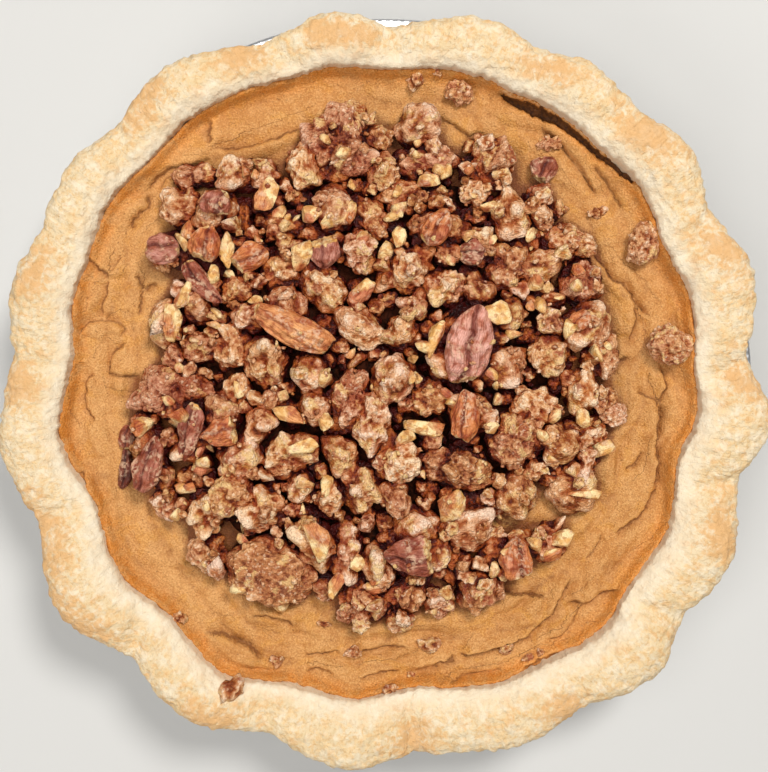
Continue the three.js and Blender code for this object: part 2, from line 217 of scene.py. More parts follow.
# Lumps seen in the heap: x, y, length, width, turn in degrees, shade
LUMPS = [
    (-14, 82, 25, 21, 70, "purple"),
    (-26, 75, 15, 10, 90, "tan"),
    (-13, 67, 10, 6, 10, "tan"),
    (-61, 71, 15, 8, 10, "red"),
    (-65, 60, 15, 14, 0, "brown"),
    (-44, 73, 10, 7, -20, "purple"),
    (-46, 56, 15, 9, 85, "tan"),
    (-33, 57, 15, 8, -25, "tan"),
    (-34, 41, 13, 11, 80, "tan"),
    (-8, 47, 13, 11, 90, "purple"),
    (-20, 36, 20, 11, -45, "tan"),
    (-50, 17, 15, 10, 90, "tan"),
    (-39, 12, 16, 13, 90, "tan"),
    (-5, 58, 16, 10, -50, "tan"),
    (-47, 35, 11, 10, 0, "tan"),
    (13, 75, 20, 12, 0, "purple"),
    (33, 75, 17, 15, 30, "brown"),
    (8, 86, 9, 7, 60, "purple"),
    (30, 66, 9, 7, 0, "tan"),
    (10, 65, 21, 9, 0, "tan"),
    (28, 59, 15, 8, 10, "brown"),
    (9, 42, 14, 13, 30, "tan"),
    (20, 35, 12, 11, 0, "tan"),
    (40, 43, 15, 12, 80, "brown"),
    (48, 57, 25, 10, 78, "purple"),
    (59, 50, 16, 10, 0, "tan"),
    (64, 37, 15, 12, 85, "purple"),
    (51, 32, 15, 8, 0, "tan"),
    (71, 14, 12, 11, 0, "brown"),
    (54, 14, 17, 13, -20, "tan"),
    (-68, 1, 25, 18, 0, "purple"),
    (-78, -10, 8, 7, 60, "tan"),
    (-11, -2, 21, 12, 75, "purple"),
    (-4, -8, 17, 10, 85, "red"),
    (-32, -20, 20, 12, 20, "tan"),
    (-9, -29, 15, 12, 90, "brown"),
    (-18, -33, 13, 9, 80, "tan"),
    (-59, -37, 16, 12, 75, "tan"),
    (-72, -35, 10, 9, 45, "red"),
    (-40, -38, 16, 14, -30, "tan"),
    (-57, -53, 11, 10, 70, "tan"),
    (-37.5, -59, 30, 23, -10, "smooth"),
    (-13, -52, 20, 11, 75, "purple"),
    (-5, -69, 17, 15, 0, "brown"),
    (-47, -27, 15, 12, 30, "tan"),
    (-62, -27, 13, 8, 0, "tan"),
    (15, -1, 12, 10, 0, "tan"),
    (4, -22, 15, 13, 0, "tan"),
    (23, -24, 23, 14, -5, "brown"),
    (43, -14, 20, 17, 60, "red"),
    (51, -4, 16, 11, -35, "tan"),
    (67, -1, 15, 7, 0, "tan"),
    (74, -6, 9, 8, 0, "red"),
    (66, -12, 13, 11, 0, "tan"),
    (64, -22, 13, 9, 10, "brown"),
    (56, -25, 13, 8, -10, "tan"),
    (35, -35, 12, 8, 0, "purple"),
    (35, -45, 12, 10, 0, "tan"),
    (22, -55, 15, 8, 90, "tan"),
    (32, -63, 16, 14, 80, "brown"),
    (7, -66, 14, 12, 30, "brown"),
    (18, -69, 10, 9, 0, "purple"),
    (5, -75, 8, 7, 0, "tan"),
    (54.5, -48.5, 14, 10, 60, "red"),
]
# Pecans seen in the heap: x, y, length, width, turn, skin, share of the length broken off at its ends
PECANS = [
    (27.5, 16, 29, 15, 78, "rose", (0.0, 0.17)),
    (27, -7, 18, 9, 85, "amber", (0.0, 0.15)),
    (-30, 22, 31, 11, -26, "tan", (0.1, 0.08)),
    (-78.5, -24, 20, 9, 75, "red", (0.0, 0.1)),
    (-84.5, -14, 9, 6, 80, "red", (0.0, 0.2)),
    (-85, -24, 13, 5, 85, "dark", (0.0, 0.0)),
    (-64, -12, 21, 8, 77, "red", (0.1, 0.0)),
    (-53, -12, 15, 10, 15, "amber", (0.35, 0.0)),
    (-60, 37, 19, 7, -50, "red", (0.0, 0.1)),
    (17, 55, 13, 9, 55, "amber", (0.0, 0.1)),
    (10, -52, 19, 13, -5, "red", (0.3, 0.0)),
    (44, -55, 15, 11, 95, "amber", (0.0, 0.15)),
    (-58, 50, 13, 10, 80, "amber", (0.1, 0.2)),
    (-72, 48, 12, 10, 0, "ruddy", (0.1, 0.1)),
    (-54, 63, 10, 9, 70, "red", (0.1, 0.2)),
    (-45, 45, 14, 9, 25, "amber", (0.0, 0.3)),
    (-19, 48, 12, 10, 95, "ruddy", (0.35, 0.0)),
    (64, 25, 8, 6, 40, "amber", (0.0, 0.2)),
    (28, 47, 9, 8, 0, "red", (0.0, 0.2)),
]
# Pale pieces of nut seen in the heap: x, y, length, width, turn, share of golden skin
NUTS = [
    (-38, 66, 12, 7, 75, 0.7),
    (-51, 48, 12, 5, 80, 0.4),
    (-79.5, -10, 8, 6, 20, 0.3),
    (-27, 46, 11, 7, 80, 0.1),
    (-69, 24, 13, 6, 85, 0.1),
    (-65, 33, 10, 5, 60, 0.2),
    (-7, 34, 10, 6, 45, 0.8),
    (-23, 59, 7, 6, 0, 0.1),
    (-18, 57, 6, 5, 30, 0.2),
    (-11, 60, 8, 4, 80, 0.2),
    (14, 70, 8, 5, 15, 0.2),
    (5, 52, 7, 5, 80, 0.0),
    (37, 27.5, 11, 8, -25, 0.05),
    (16, 19, 13, 5, 65, 0.1),
    (-31, -6, 13, 6, -30, 0.7),
    (-19, -8, 7, 5, 90, 0.0),
    (-21, -48, 14, 8, -65, 0.3),
    (-16, -63, 10, 5, 65, 0.6),
    (13, -10, 13, 6, -20, 0.3),
    (7, -14, 7, 6, 0, 0.1),
    (35, -10, 5, 4, 0, 0.0),
    (72, -17, 8, 5, 20, 0.1),
    (65, -31, 12, 4, 0, 0.2),
    (22, -37, 13, 9, 60, 0.4),
    (59, -47, 8, 6, 0, 0.1),
    (56, -53, 7, 5, 30, 0.8),
    (-26, -29, 6, 4, -10, 0.2),
    (-27, -17, 11, 5, 15, 0.2),
    (-19, -30, 7, 5, 70, 0.1),
]
# Strays on the filling that stand for nodes of their own: x, y, length, width, turn
STRAYS = {
    "stray_pecan": (51.5, 73.5, 10, 8.5, 70),
    "stray_clump_far": (53.5, 82, 8, 5, 10),
    "stray_clump_right": (84, 50, 13, 9, 80),
    "stray_clump_low_right": (93, 17, 13, 11, -20),
    "stray_clump_top": (24, 98, 9, 7, -15),
}
# Smaller crumbs on the filling and the rim: x, y, length, width, turn
CRUMBS = [
    (10, 102, 6, 4.5, 60),
    (17, 104, 3.5, 2.5, 0),
    (69, 60, 6, 3.5, 10),
    (-10, -86, 5, 4.5, 0),
    (2, -98, 5, 4, 20),
    (9, -94, 2.5, 2, 0),
    (15, -84, 7, 5, 10),
    (41, -85, 5, 4, 0),
    (-36, -89, 4.5, 4, 70),
    (48, -88, 3.5, 3, 0),
    (52, -86, 2.8, 2.5, 0),
    (-20, -77, 7, 2, -10),
    (-68, -74, 5, 4, 0),
    (-50, -96, 8, 6.5, 40),
]
# Every piece seen in the heap: x, y, length, width
SEEN = np.array([row[:4] for row in LUMPS + PECANS + NUTS])
# Shades of lumps: hue, tint, how thick the bits lie, the largest bit's share of the lump's width
SHADES = {
    "tan": (0.14, 0.62, 1.0, 0.65),
    "brown": (0.35, 0.4, 0.6, 0.65),
    "red": (0.55, 0.5, 0.9, 0.65),
    "purple": (0.8, 0.48, 0.8, 0.65),
    "smooth": (0.35, 0.48, 0.4, 0.25),
}
SKIN_HUES = {"dark": 0.08, "red": 0.26, "ruddy": 0.36, "rose": 0.5, "amber": 0.76, "tan": 0.88}
# The depth of the cleft and the taper of the two pecans that are nearly whole, by skin
WHOLE_HALVES = {"tan": (0.14, 0.1), "rose": (0.34, 0.04)}

# Pieces of the heap: heights as shares of widths, then lengths from least to most
LUMP_HEIGHT = 0.85
PECAN_HEIGHT = 0.7
NUT_HEIGHT = 0.8
CRUMB_HEIGHT = 0.75
MOST_LUMP_HEIGHT = 13.0
SMOOTH_LUMP_HEIGHT = 17.0
BIT_LENGTHS = (3.5, 8.5)
FILLER_LENGTHS = (5.0, 15.0)
GAP_CRUMB_LENGTHS = (2.0, 4.2)
CHOPPED_NUT_LENGTHS = (3.0, 7.0)
GRAIN_LENGTHS = (0.8, 2.0)
# A filler's length to the room there is, and the length from which it is a lump of several bits
FILLER_TO_ROOM = 3.2
FILLER_LUMP = 6.0
# Random places to choose from for each filler, crumb in a gap and chopped nut
FILLER_TRIES = 14
GAP_CRUMB_TRIES = 6
CHOPPED_NUT_TRIES = 3
# Length times width from which a lump counts as large
LARGE_LUMP = 250.0
# Room for filler lumps is what lies lower than this.
FILLER_LEVEL = 39.0
# Shares of a piece's underside that are clear of what it lies on
LUMP_CLEAR = 0.45
NUT_CLEAR = 0.6
SMALL_CLEAR = 0.4
STRAY_CLEAR = 0.5
CRUMB_CLEAR = 0.35
FILLER_COUNT = 210
GAP_CRUMB_COUNT = 170
CHOPPED_NUT_COUNT = 90
CHOPPED_KINDS = 16
GRAIN_COUNT = 400
# A chopped bit has the sides of a box and some cut corners.
BOX_SIDES = 6
CORNER_CUTS = 5
# Square millimetres of a lump to a bit
CHUNK_COVER = 16.0
# Length up to which a loose bit gets the coarser ball
FINE_CHUNK = 3.2
# Rounds of easing that a lump's edges get, by the fineness of its ball
EASING = {2: 0, 3: 0, 4: 1, 5: 2, 6: 4}

# Specular level of what is dull
DULL = 0.35


def smoothstep(value, low, high):
    """0 at low, 1 at high and smooth in between; low may be the greater."""
    share = np.clip((value - low) / (high - low), 0, 1)
    return share * share * (3 - 2 * share)


def window(value, low, full, fading, gone):
    """1 from full to fading, 0 below low and above gone."""
    return smoothstep(value, low, full) * (1 - smoothstep(value, fading, gone))


def bell(value, width):
    """1 at zero, about a third at that width away from it, and soon nothing."""
    return np.exp(-((value / width) ** 2))


def between(first, second, share):
    """The value that share of the way from the first to the second."""
    return first + (second - first) * share


def unit(vectors):
    return vectors / np.linalg.norm(vectors, axis=-1, keepdims=True)


def random_shift(draw):
    """A shift that gives a shape its own part of the noise."""
    return draw.uniform(-50, 50, 3)


def random_directions(draw, count):
    return unit(draw.normal(size=(count, 3)))


SLOPES = random_directions(np.random.default_rng(SEED), 256)


def smooth_noise(points, seed=0):
    """Gradient noise from about -1 to 1, with one wave to a unit of length."""
    cell = np.floor(points).astype(np.int64)
    share = points - cell
    fade = share**3 * (share * (share * 6 - 15) + 10)
    total = np.zeros(len(points))
    for corner in np.ndindex(2, 2, 2):
        place = (cell + corner) * (73856093, 19349663, 83492791)
        pick = place[:, 0] ^ place[:, 1] ^ place[:, 2] ^ (seed * 40503)
        slope = SLOPES[(pick ^ (pick >> 9)) & 255]
        weight = np.where(corner, fade, 1 - fade).prod(axis=1)
        total += weight * ((share - corner) * slope).sum(axis=1)
    return total * 1.6


def noises(points, *waves):
    """Noises added up, each given as its height, the length of its waves and its seed."""
    return sum(height * smooth_noise(points / length, seed) for height, length, seed in waves)


def layered_noise(points, layers, seed=0):
    """Noise with finer waves of half the size and half the height added."""
    total = np.zeros(len(points))
    for layer in range(layers):
        total += smooth_noise(points * 2**layer, seed + layer) / 2**layer
    return total


# Meshes


def ring_sheet(rows, steps):
    """A flat grid: its length goes once round the pie, its width along a profile of that many rows."""
    sheet = bmesh.new()
    bmesh.ops.create_grid(sheet, x_segments=steps, y_segments=rows - 1, size=1)
    flat = np.array([vert.co for vert in sheet.verts])
    row = np.rint((flat[:, 1] + 1) / 2 * (rows - 1)).astype(int)
    return sheet, row, flat[:, 0] * math.pi


def polar(radius, angle, height):
    """Points at a radius and an angle about the pie's axis, and at a height."""
    flat = radius * np.cos(angle), radius * np.sin(angle)
    return np.column_stack(np.broadcast_arrays(*flat, height))


def piece_from_sheet(name, sheet, points, marks, finish):
    """Moves the sheet's points to their places, closes it and makes it an object."""
    layers = {mark: sheet.verts.layers.float.new(mark) for mark in marks}
    for number, vert in enumerate(sheet.verts):
        vert.co = points[number] * MM
        for mark, values in marks.items():
            vert[layers[mark]] = values[number]
    bmesh.ops.remove_doubles(sheet, verts=sheet.verts, dist=0.01 * MM)
    bmesh.ops.recalc_face_normals(sheet, faces=sheet.faces)
    for face in sheet.faces:
        face.smooth = True
    mesh = bpy.data.meshes.new(name)
    sheet.to_mesh(mesh)
    sheet.free()
    return placed(name, mesh, finish)


def joined(shapes):
    """One shape from several, each (points, faces, marks)."""
    starts = np.cumsum([0] + [len(shape[0]) for shape in shapes])
    points = np.concatenate([shape[0] for shape in shapes])
    faces = np.concatenate([shape[1] + start for shape, start in zip(shapes, starts)])
    marks = {mark: np.concatenate([shape[2][mark] for shape in shapes]) for mark in shapes[0][2]}
    return points, faces, marks


def piece_from_shapes(name, shapes, finish):
    """One object from many small shapes."""
    points, faces, marks = joined(shapes)
    mesh = bpy.data.meshes.new(name)
    mesh.from_pydata(points * MM, [], faces)
    mesh.polygons.foreach_set("use_smooth", np.ones(len(faces), bool))
    for mark, values in marks.items():
        mesh.attributes.new(mark, "FLOAT", "POINT").data.foreach_set("value", values)
    mesh.update()
    return placed(name, mesh, finish)


def linked(name, data):
    """A new object in the scene."""
    made = bpy.data.objects.new(name, data)
    bpy.context.scene.collection.objects.link(made)
    return made


def placed(name, mesh, finish):
    mesh.materials.append(finish)
    return linked(name, mesh)


def points_of(piece):
    """The places of an object's points, in millimetres."""
    places = np.empty(3 * len(piece.data.vertices), np.float32)
    piece.data.vertices.foreach_get("co", places)
    return places.reshape(-1, 3) / MM


def solid_of(sheet):
    """The points and the faces of a sheet, which isn't needed any more."""
    sheet.verts.index_update()
    points = np.array([vert.co for vert in sheet.verts])
    faces = np.array([[vert.index for vert in face.verts] for face in sheet.faces])
    sheet.free()
    return points, faces


def unit_ball(subdivisions):
    """Points and triangles of a round ball of radius one."""
    sheet = bmesh.new()
    bmesh.ops.create_icosphere(sheet, subdivisions=subdivisions, radius=1)
    return solid_of(sheet)


BALLS = {subdivisions: unit_ball(subdivisions) for subdivisions in range(1, 7)}


# Finishes


class Socket:
    """A shader value: sums and products of sockets and numbers add the Math nodes they need."""

    def __init__(self, tree, output):
        self.tree = tree
        self.output = output

    def node(self, kind, settings, inputs, output=0):
        """A new node in the same tree: its settings first, then its sockets' values or links."""
        made = self.tree.nodes.new(kind)
        for setting, value in settings.items():
            setattr(made, setting, value)
        for name, value in inputs.items():
            if isinstance(value, Socket):
                self.tree.links.new(value.output, made.inputs[name])
            else:
                made.inputs[name].default_value = value
        return Socket(self.tree, made.outputs[output])

    def maths(self, operation, first, second):
        return self.node("ShaderNodeMath", {"operation": operation}, {0: first, 1: second})

    def __add__(self, other):
        return self.maths("ADD", self, other)

    def __sub__(self, other):
        return self.maths("SUBTRACT", self, other)

    def __rsub__(self, other):
        return self.maths("SUBTRACT", other, self)

    def __mul__(self, other):
        return self.maths("MULTIPLY", self, other)

    __radd__ = __add__
    __rmul__ = __mul__


def tone(red, green, blue):
    """A colour given as it looks on a screen, from 0 to 255, as the linear one that a shader takes."""
    linear = []
    for channel in (red, green, blue):
        share = channel / 255
        linear.append(share / 12.92 if share <= 0.04045 else ((share + 0.055) / 1.055) ** 2.4)
    return (*linear, 1)


def new_finish(name, **constants):
    """A material with its constants set, and the Socket of its Object coordinates."""
    finish = bpy.data.materials.new(name)
    finish.use_nodes = True
    tree = finish.node_tree
    shader = tree.nodes["Principled BSDF"]
    for socket, value in constants.items():
        shader.inputs[socket.replace("_", " ")].default_value = value
    place = tree.nodes.new("ShaderNodeTexCoord").outputs["Object"]
    return finish, Socket(tree, place)


def feed(finish, **inputs):
    """The finish, with its changing values linked to its shader."""
    tree = finish.node_tree
    shader = tree.nodes["Principled BSDF"]
    for socket, value in inputs.items():
        tree.links.new(value.output, shader.inputs[socket.replace("_", " ")])
    return finish


def mark(place, name):
    return place.node("ShaderNodeAttribute", {"attribute_name": name}, {}, "Fac")


def mixed(share, first, second, blend="MIX"):
    """The first colour with a share of the second blended into it."""
    settings = {"data_type": "RGBA", "blend_type": blend}
    return share.node("ShaderNodeMix", settings, {0: share, 6: first, 7: second}, 2)


def painted(colour, *coats, blend="MIX"):
    """A colour with coats over it, each given as its share and its tone."""
    for share, shade in coats:
        colour = mixed(share, colour, tone(*shade), blend)
    return colour


def stained(colour, *coats):
    """A colour that coats darken, each given as its share and its tone."""
    return painted(colour, *coats, blend="MULTIPLY")


def scale_of_tones(value, *stops):
    """The colour that a value has on a scale, whose stops are places from 0 to 1 with their tones."""
    made = value.node("ShaderNodeValToRGB", {}, {"Fac": value})
    elements = made.output.node.color_ramp.elements
    while len(elements) < len(stops):
        elements.new(1)
    for element, (place, shade) in zip(elements, stops):
        element.position = place
        element.color = tone(*shade)
    return made


def mottle(place, size, detail=2, distortion=0):
    """Noise whose waves are about size millimetres across."""
    inputs = {"Vector": place, "Scale": 1 / (size * MM), "Detail": detail, "Distortion": distortion}
    return place.node("ShaderNodeTexNoise", {}, inputs)


def sugar_cells(place, size):
    """Grains about size millimetres across: the distance from a grain's middle, and a shade for each."""
    inputs = {"Vector": place, "Scale": 1 / (size * MM)}
    away = place.node("ShaderNodeTexVoronoi", {}, inputs, "Distance")
    colour = place.node("ShaderNodeTexVoronoi", {}, inputs, "Color")
    return away, place.node("ShaderNodeSeparateColor", {}, {"Color": colour}, "Red")


def grown(value, low, high):
    """0 below low, 1 above high and smooth in between."""
    inputs = {"Value": value, "From Min": low, "From Max": high}
    return value.node("ShaderNodeMapRange", {"interpolation_type": "SMOOTHSTEP"}, inputs)


def thin_line(value, half_width):
    """1 where a value passes through zero, 0 from half_width on."""
    return grown(value.maths("ABSOLUTE", value, 0), half_width, 0.0)


def drawn_radially(place, across, along):
    """Coordinates whose unit is across millimetres round the rim and along millimetres over it."""

    def vector(operation, inputs, output=0):
        return place.node("ShaderNodeVectorMath", {"operation": operation}, inputs, output)

    flat = vector("MULTIPLY", {0: place, 1: (1, 1, 0)})
    round_rim = vector("SCALE", {0: vector("NORMALIZE", {0: flat}), "Scale": RIM_OUTER * MM / across})
    length = vector("LENGTH", {0: flat}, "Value")
    height = place.node("ShaderNodeSeparateXYZ", {}, {0: place}, "Z")
    over = place.node("ShaderNodeCombineXYZ", {}, {"Z": (length + height) * (1 / along)})
    return vector("ADD", {0: round_rim, 1: over})


def roughened(height, depth):
    """A normal for bumps as deep as depth, in millimetres."""
    return height.node("ShaderNodeBump", {}, {"Height": height, "Distance": depth * MM, "Strength": 1.0})


def foil_finish():
    finish, place = new_finish("foil", Metallic=1.0)
    crinkle = mottle(place, 5, 3)
    return feed(
        finish,
        Base_Color=mixed(crinkle, tone(205, 207, 210), tone(240, 241, 243)),
        Roughness=0.22 + 0.2 * mottle(place, 2, 2),
        Normal=roughened(crinkle, 0.35),
    )


def pastry_finish():
    finish, place = new_finish("baked_pastry", Specular_IOR_Level=DULL)
    inner = mark(place, "inner")
    broad = mottle(place, 9, 3, 0.6)
    blotch = mottle(place, 2.6, 4, 0.8)
    fine = mottle(place, 1.3, 4, 0.4)
    ridges = mottle(drawn_radially(place, 1.6, 6), 1, 3, 0.3)
    broken = 1.0 * (broad - 0.5) + 1.3 * (blotch - 0.5) + 0.8 * (ridges - 0.5) + 0.5 * (fine - 0.5)
    golden = grown(0.75 * mark(place, "browned") + 1.2 * broken, 0.05, 0.7)
    flaky = (1 - inner) * grown(mottle(place, 1.2, 3, 0.6), 0.5, 0.62)
    floury = grown(mottle(place, 3.4, 4, 0.5) + 0.4 * (ridges - 0.5), 0.46, 0.7)
    sunken = grown(1 - mark(place, "raised"), 0.55, 1.0)
    colour = painted(
        mixed(grown(broad, 0.3, 0.7), tone(227, 208, 174), tone(223, 196, 150)),
        (0.8 * grown(blotch, 0.44, 0.6), (230, 197, 146)),
        (0.85 * golden, (218, 168, 110)),
        (0.45 * flaky, (208, 164, 108)),
        ((0.5 - 0.4 * golden) * floury, (240, 228, 204)),
        # Paler inner slope: partly pastry that browned less, partly painted light that lifts the shade on
        # the slope.
        (0.65 * inner, (234, 219, 194)),
        # Painted shade in the hollows of the pastry's relief.
        ((0.3 - 0.3 * inner) * sunken, (220, 192, 150)),
    )
    return feed(
        finish,
        Base_Color=colour,
        Roughness=0.5 + 0.25 * fine,
        Normal=roughened((1 - 0.3 * inner) * (fine + ridges + 0.5 * mottle(place, 0.6, 2)), 0.55),
    )


def filling_finish():
    finish, place = new_finish("sweet_potato_custard", Specular_IOR_Level=DULL)
    edge = mark(place, "edge")
    creased = mark(place, "creased")
    across = mark(place, "crease")
    broad = mottle(place, 22, 2, 0.5)
    blotch = mottle(place, 4, 3, 0.5)
    grain = mottle(place, 0.55, 2)
    flakes = mottle(place, 1.1, 3, 0.4)
    specks = grown(mottle(place, 0.8, 1), 0.64, 0.74)
    glazed = grown(mottle(place, 8, 3, 1.0), 0.52, 0.66)
    left = grown(place.node("ShaderNodeSeparateXYZ", {}, {0: place}, "X"), -0.03, -0.09)
    valley = mark(place, "valley") * (1 - 0.8 * edge)
    waver = 5 * (mottle(place, 1.2, 3) - 0.5)
    unbroken = grown(mottle(place, 5, 3), 0.3, 0.45)
    crease = unbroken * creased * thin_line(across + waver, 2.2)
    beside = creased * thin_line(across, 7.5)
    colour = painted(
        mixed(grown(broad, 0.3, 0.7), tone(198, 135, 68), tone(208, 150, 85)),
        (0.5 * grown(blotch, 0.42, 0.62), (216, 160, 98)),
        (0.35 * grown(blotch, 0.5, 0.32), (176, 112, 50)),
        # Painted light: the left side of the filling is lighter.
        (0.4 * left, (224, 168, 104)),
        (0.4 * glazed, (214, 148, 56)),
        (edge * grown(blotch, 0.25, 0.65), (214, 131, 44)),
        (0.42 * grown(grain, 0.6, 0.32), (160, 98, 40)),
        (0.38 * grown(grain, 0.5, 0.7), (236, 184, 120)),
        (0.45 * specks, (110, 62, 24)),
        # Painted shade in the valleys of the folds.
        (0.2 * valley, (158, 96, 40)),
        (0.25 * valley * grown(mottle(place, 3.5, 3), 0.5, 0.62), (120, 66, 24)),
        # Painted shade on the low bank of each crease, then a painted highlight on its raised lip.
        (0.5 * beside * grown(across, 0.6, -0.6), (150, 88, 34)),
        (0.35 * beside * grown(across, 0.2, 2.0), (230, 172, 104)),
        # Painted shade: a dark line along each crease.
        (0.7 * crease, (108, 58, 20)),
    )
    # Painted shadow where the filling lies below the heap about it.
    colour = stained(colour, (0.9 * mark(place, "covered"), (158, 116, 90)))
    colour = painted(colour, (0.7 * mark(place, "strip") * grown(flakes, 0.42, 0.55), (232, 188, 136)))
    # Painted shade: the near-black gap colour fills the groove where the filling drew away from the crust.
    gap = mixed(grown(flakes, 0.35, 0.6), tone(60, 28, 6), tone(104, 58, 18))
    ragged = grown(mark(place, "groove") + 1.2 * (flakes - 0.5), 0.35, 0.6)
    return feed(
        finish,
        Base_Color=mixed(0.95 * ragged, colour, gap),
        Roughness=0.48 + 0.2 * grain,
        Normal=roughened(grain + blotch - 0.6 * crease, 0.5),
    )


def crumble_finish():
    finish, place = new_finish("sugared_crumble", Specular_IOR_Level=DULL)
    deep = mark(place, "deep")
    rough = mottle(place, 1.6, 4, 0.4)
    fine = mottle(place, 0.55, 2)
    away, shade = sugar_cells(place, 0.75)
    # The tint carries painted light on knobs and on what stands above the heap, and painted shade in
    # crevices.
    lightness = 0.85 * mark(place, "tint") + 0.35 * (rough - 0.5) + 0.25 * (shade - 0.5) + 0.13
    tan = scale_of_tones(
        lightness,
        (0.0, (112, 50, 16)),
        (0.35, (193, 127, 71)),
        (0.7, (231, 176, 122)),
        (1.0, (250, 216, 176)),
    )
    pink = scale_of_tones(
        lightness,
        (0.0, (110, 46, 24)),
        (0.35, (187, 117, 83)),
        (0.7, (225, 169, 133)),
        (1.0, (249, 213, 188)),
    )
    flesh = mixed(fine, tone(216, 158, 84), tone(250, 222, 160))
    skin = mixed(rough, tone(126, 52, 24), tone(198, 108, 66))
    colour = mixed(mark(place, "hue"), tan, pink)
    colour = mixed(mark(place, "flesh") * grown(rough, 0.65, 0.5), colour, flesh)
    colour = mixed(mark(place, "skin") * grown(rough, 0.62, 0.5), colour, skin)
    colour = painted(colour, (0.3 * grown(shade, 0.88, 0.93), (253, 234, 206)))
    colour = stained(
        colour,
        # Painted shade between the sugar grains.
        (0.3 * grown(away, 0.5, 0.8), (176, 112, 66)),
        # Painted shade in the lumps' crevices.
        (grown(mark(place, "pit"), 0.05, 0.6), (212, 166, 116)),
        # Painted shade, darkest where a piece lies deepest between the lumps.
        (grown(deep, 0.0, 0.6), (200, 130, 68)),
        (grown(deep, 0.45, 0.9), (112, 42, 12)),
    )
    return feed(
        finish,
        Base_Color=colour,
        Roughness=0.74 - 0.5 * rough - 0.1 * shade,
        Normal=roughened(rough + 0.4 * fine - 0.25 * away, 1.4),
    )


def core_finish():
    finish, place = new_finish("crumble_core_shade", Roughness=0.8, Specular_IOR_Level=0.1)
    rough = mottle(place, 2, 4, 0.5)
    return feed(
        finish,
        # Near-black painted shade: the core shows in the gaps between the lumps.
        Base_Color=mixed(grown(rough, 0.35, 0.65), tone(22, 6, 1), tone(58, 22, 6)),
        Normal=roughened(rough, 1.5),
    )


def pecan_finish():
    finish, place = new_finish("pecan_skin_and_flesh")
    hue = mark(place, "hue")
    groove = mark(place, "groove")
    broad = mottle(place, 3, 3, 0.5)
    rough = mottle(place, 1.3, 4, 0.4)
    fine = mottle(place, 0.6, 2)
    lengthwise = {"X": 0.25 * mark(place, "along"), "Y": 2.6 * mark(place, "across"), "Z": 9 * hue}
    streak_place = place.node("ShaderNodeCombineXYZ", {}, lengthwise)
    streaks = place.node("ShaderNodeTexNoise", {}, {"Vector": streak_place, "Scale": 1.0, "Detail": 3})
    skin = scale_of_tones(
        hue,
        (0.0, (92, 42, 32)),
        (0.25, (170, 92, 62)),
        (0.5, (235, 176, 158)),
        (0.75, (210, 124, 66)),
        (1.0, (240, 176, 112)),
    )
    skin = stained(
        skin,
        (grown(broad, 0.6, 0.35), (206, 164, 140)),
        (0.6 * grown(streaks, 0.54, 0.36), (186, 122, 90)),
        # Painted shade in the cleft, between the ridges and where a piece lies low in the heap.
        (0.9 * groove, (140, 76, 50)),
    )
    inside = mixed(grown(broad, 0.35, 0.65), tone(226, 168, 92), tone(252, 224, 166))
    # The same painted shade on the pale flesh.
    inside = stained(inside, (groove, (130, 62, 24)))
    inside = painted(inside, (0.7 * grown(mottle(place, 2.2, 3, 0.4), 0.5, 0.6), (188, 120, 62)))
    coat = mixed(rough, tone(196, 128, 82), tone(252, 224, 190))
    colour = mixed(mark(place, "flesh"), skin, inside)
    colour = mixed(0.6 * mark(place, "sugar") * grown(rough, 0.42, 0.58), colour, coat)
    return feed(
        finish,
        Base_Color=colour,
        Roughness=0.38 + 0.25 * fine,
        Normal=roughened(rough + 0.5 * streaks + 0.4 * fine, 0.8),
    )


def stage_finish():
    return new_finish("pale_floor", Base_Color=tone(204, 203, 200), Roughness=0.7)[0]


# Tin, crust and filling


def tin_radius(height):
    return between(TIN_BASE_RADIUS, TIN_MOUTH_RADIUS, np.clip(height / TIN_DEPTH, 0, 1))


def tin_profile():
    """Radius and height of the foil's outer face from the axis to the bead, then of its inner face back."""
    flange_end = TIN_RIM_RADIUS - BEAD_RADIUS
    outer = [(0, 0), (40, 0), (TIN_BASE_RADIUS - BASE_BEND, 0)]
    outer += [(tin_radius(z), z) for z in np.linspace(BASE_BEND * 0.4, TIN_DEPTH, 14)]
    outer += [(r, TIN_DEPTH) for r in np.linspace(TIN_MOUTH_RADIUS + 1, flange_end - BEAD_RADIUS, 5)]
    bead_middle = TIN_DEPTH + FOIL - BEAD_RADIUS
    for turn in np.linspace(-math.pi * 0.75, math.pi / 2, 12):
        across, up = BEAD_RADIUS * math.cos(turn), BEAD_RADIUS * math.sin(turn)
        outer.append((flange_end + across, bead_middle + up))
    inner = [(r, TIN_DEPTH + FOIL) for r in np.linspace(flange_end - 2, TIN_MOUTH_RADIUS, 5)]
    inner += [(tin_radius(z) - FOIL, z) for z in np.linspace(TIN_DEPTH, BASE_BEND, 6)]
    inner += [(TIN_BASE_RADIUS - BASE_BEND, FOIL), (0, FOIL)]
    return np.array(outer + inner)


def foil_tin(finish):
    profile = tin_profile()
    sheet, row, angle = ring_sheet(len(profile), TIN_STEPS)
    radius, height = profile[row].T
    wall = window(height, 0.5, 4, TIN_DEPTH - 2, TIN_DEPTH - 0.2)
    pleat = (1 + np.cos(PLEATS * angle)) / 2
    radius = radius - PLEAT_DEPTH * pleat * wall
    crumpled = smooth_noise(polar(radius, angle, height) / 7, 3)
    radius = radius + FOIL_CRUMPLE * crumpled * wall
    flange = smoothstep(radius, TIN_MOUTH_RADIUS + 1, TIN_MOUTH_RADIUS + 4)
    height = height + RIB_DEPTH * flange * np.sin(RIM_RIBS * angle)
    return piece_from_sheet("tin_foil", sheet, polar(radius, angle, height), {}, finish)


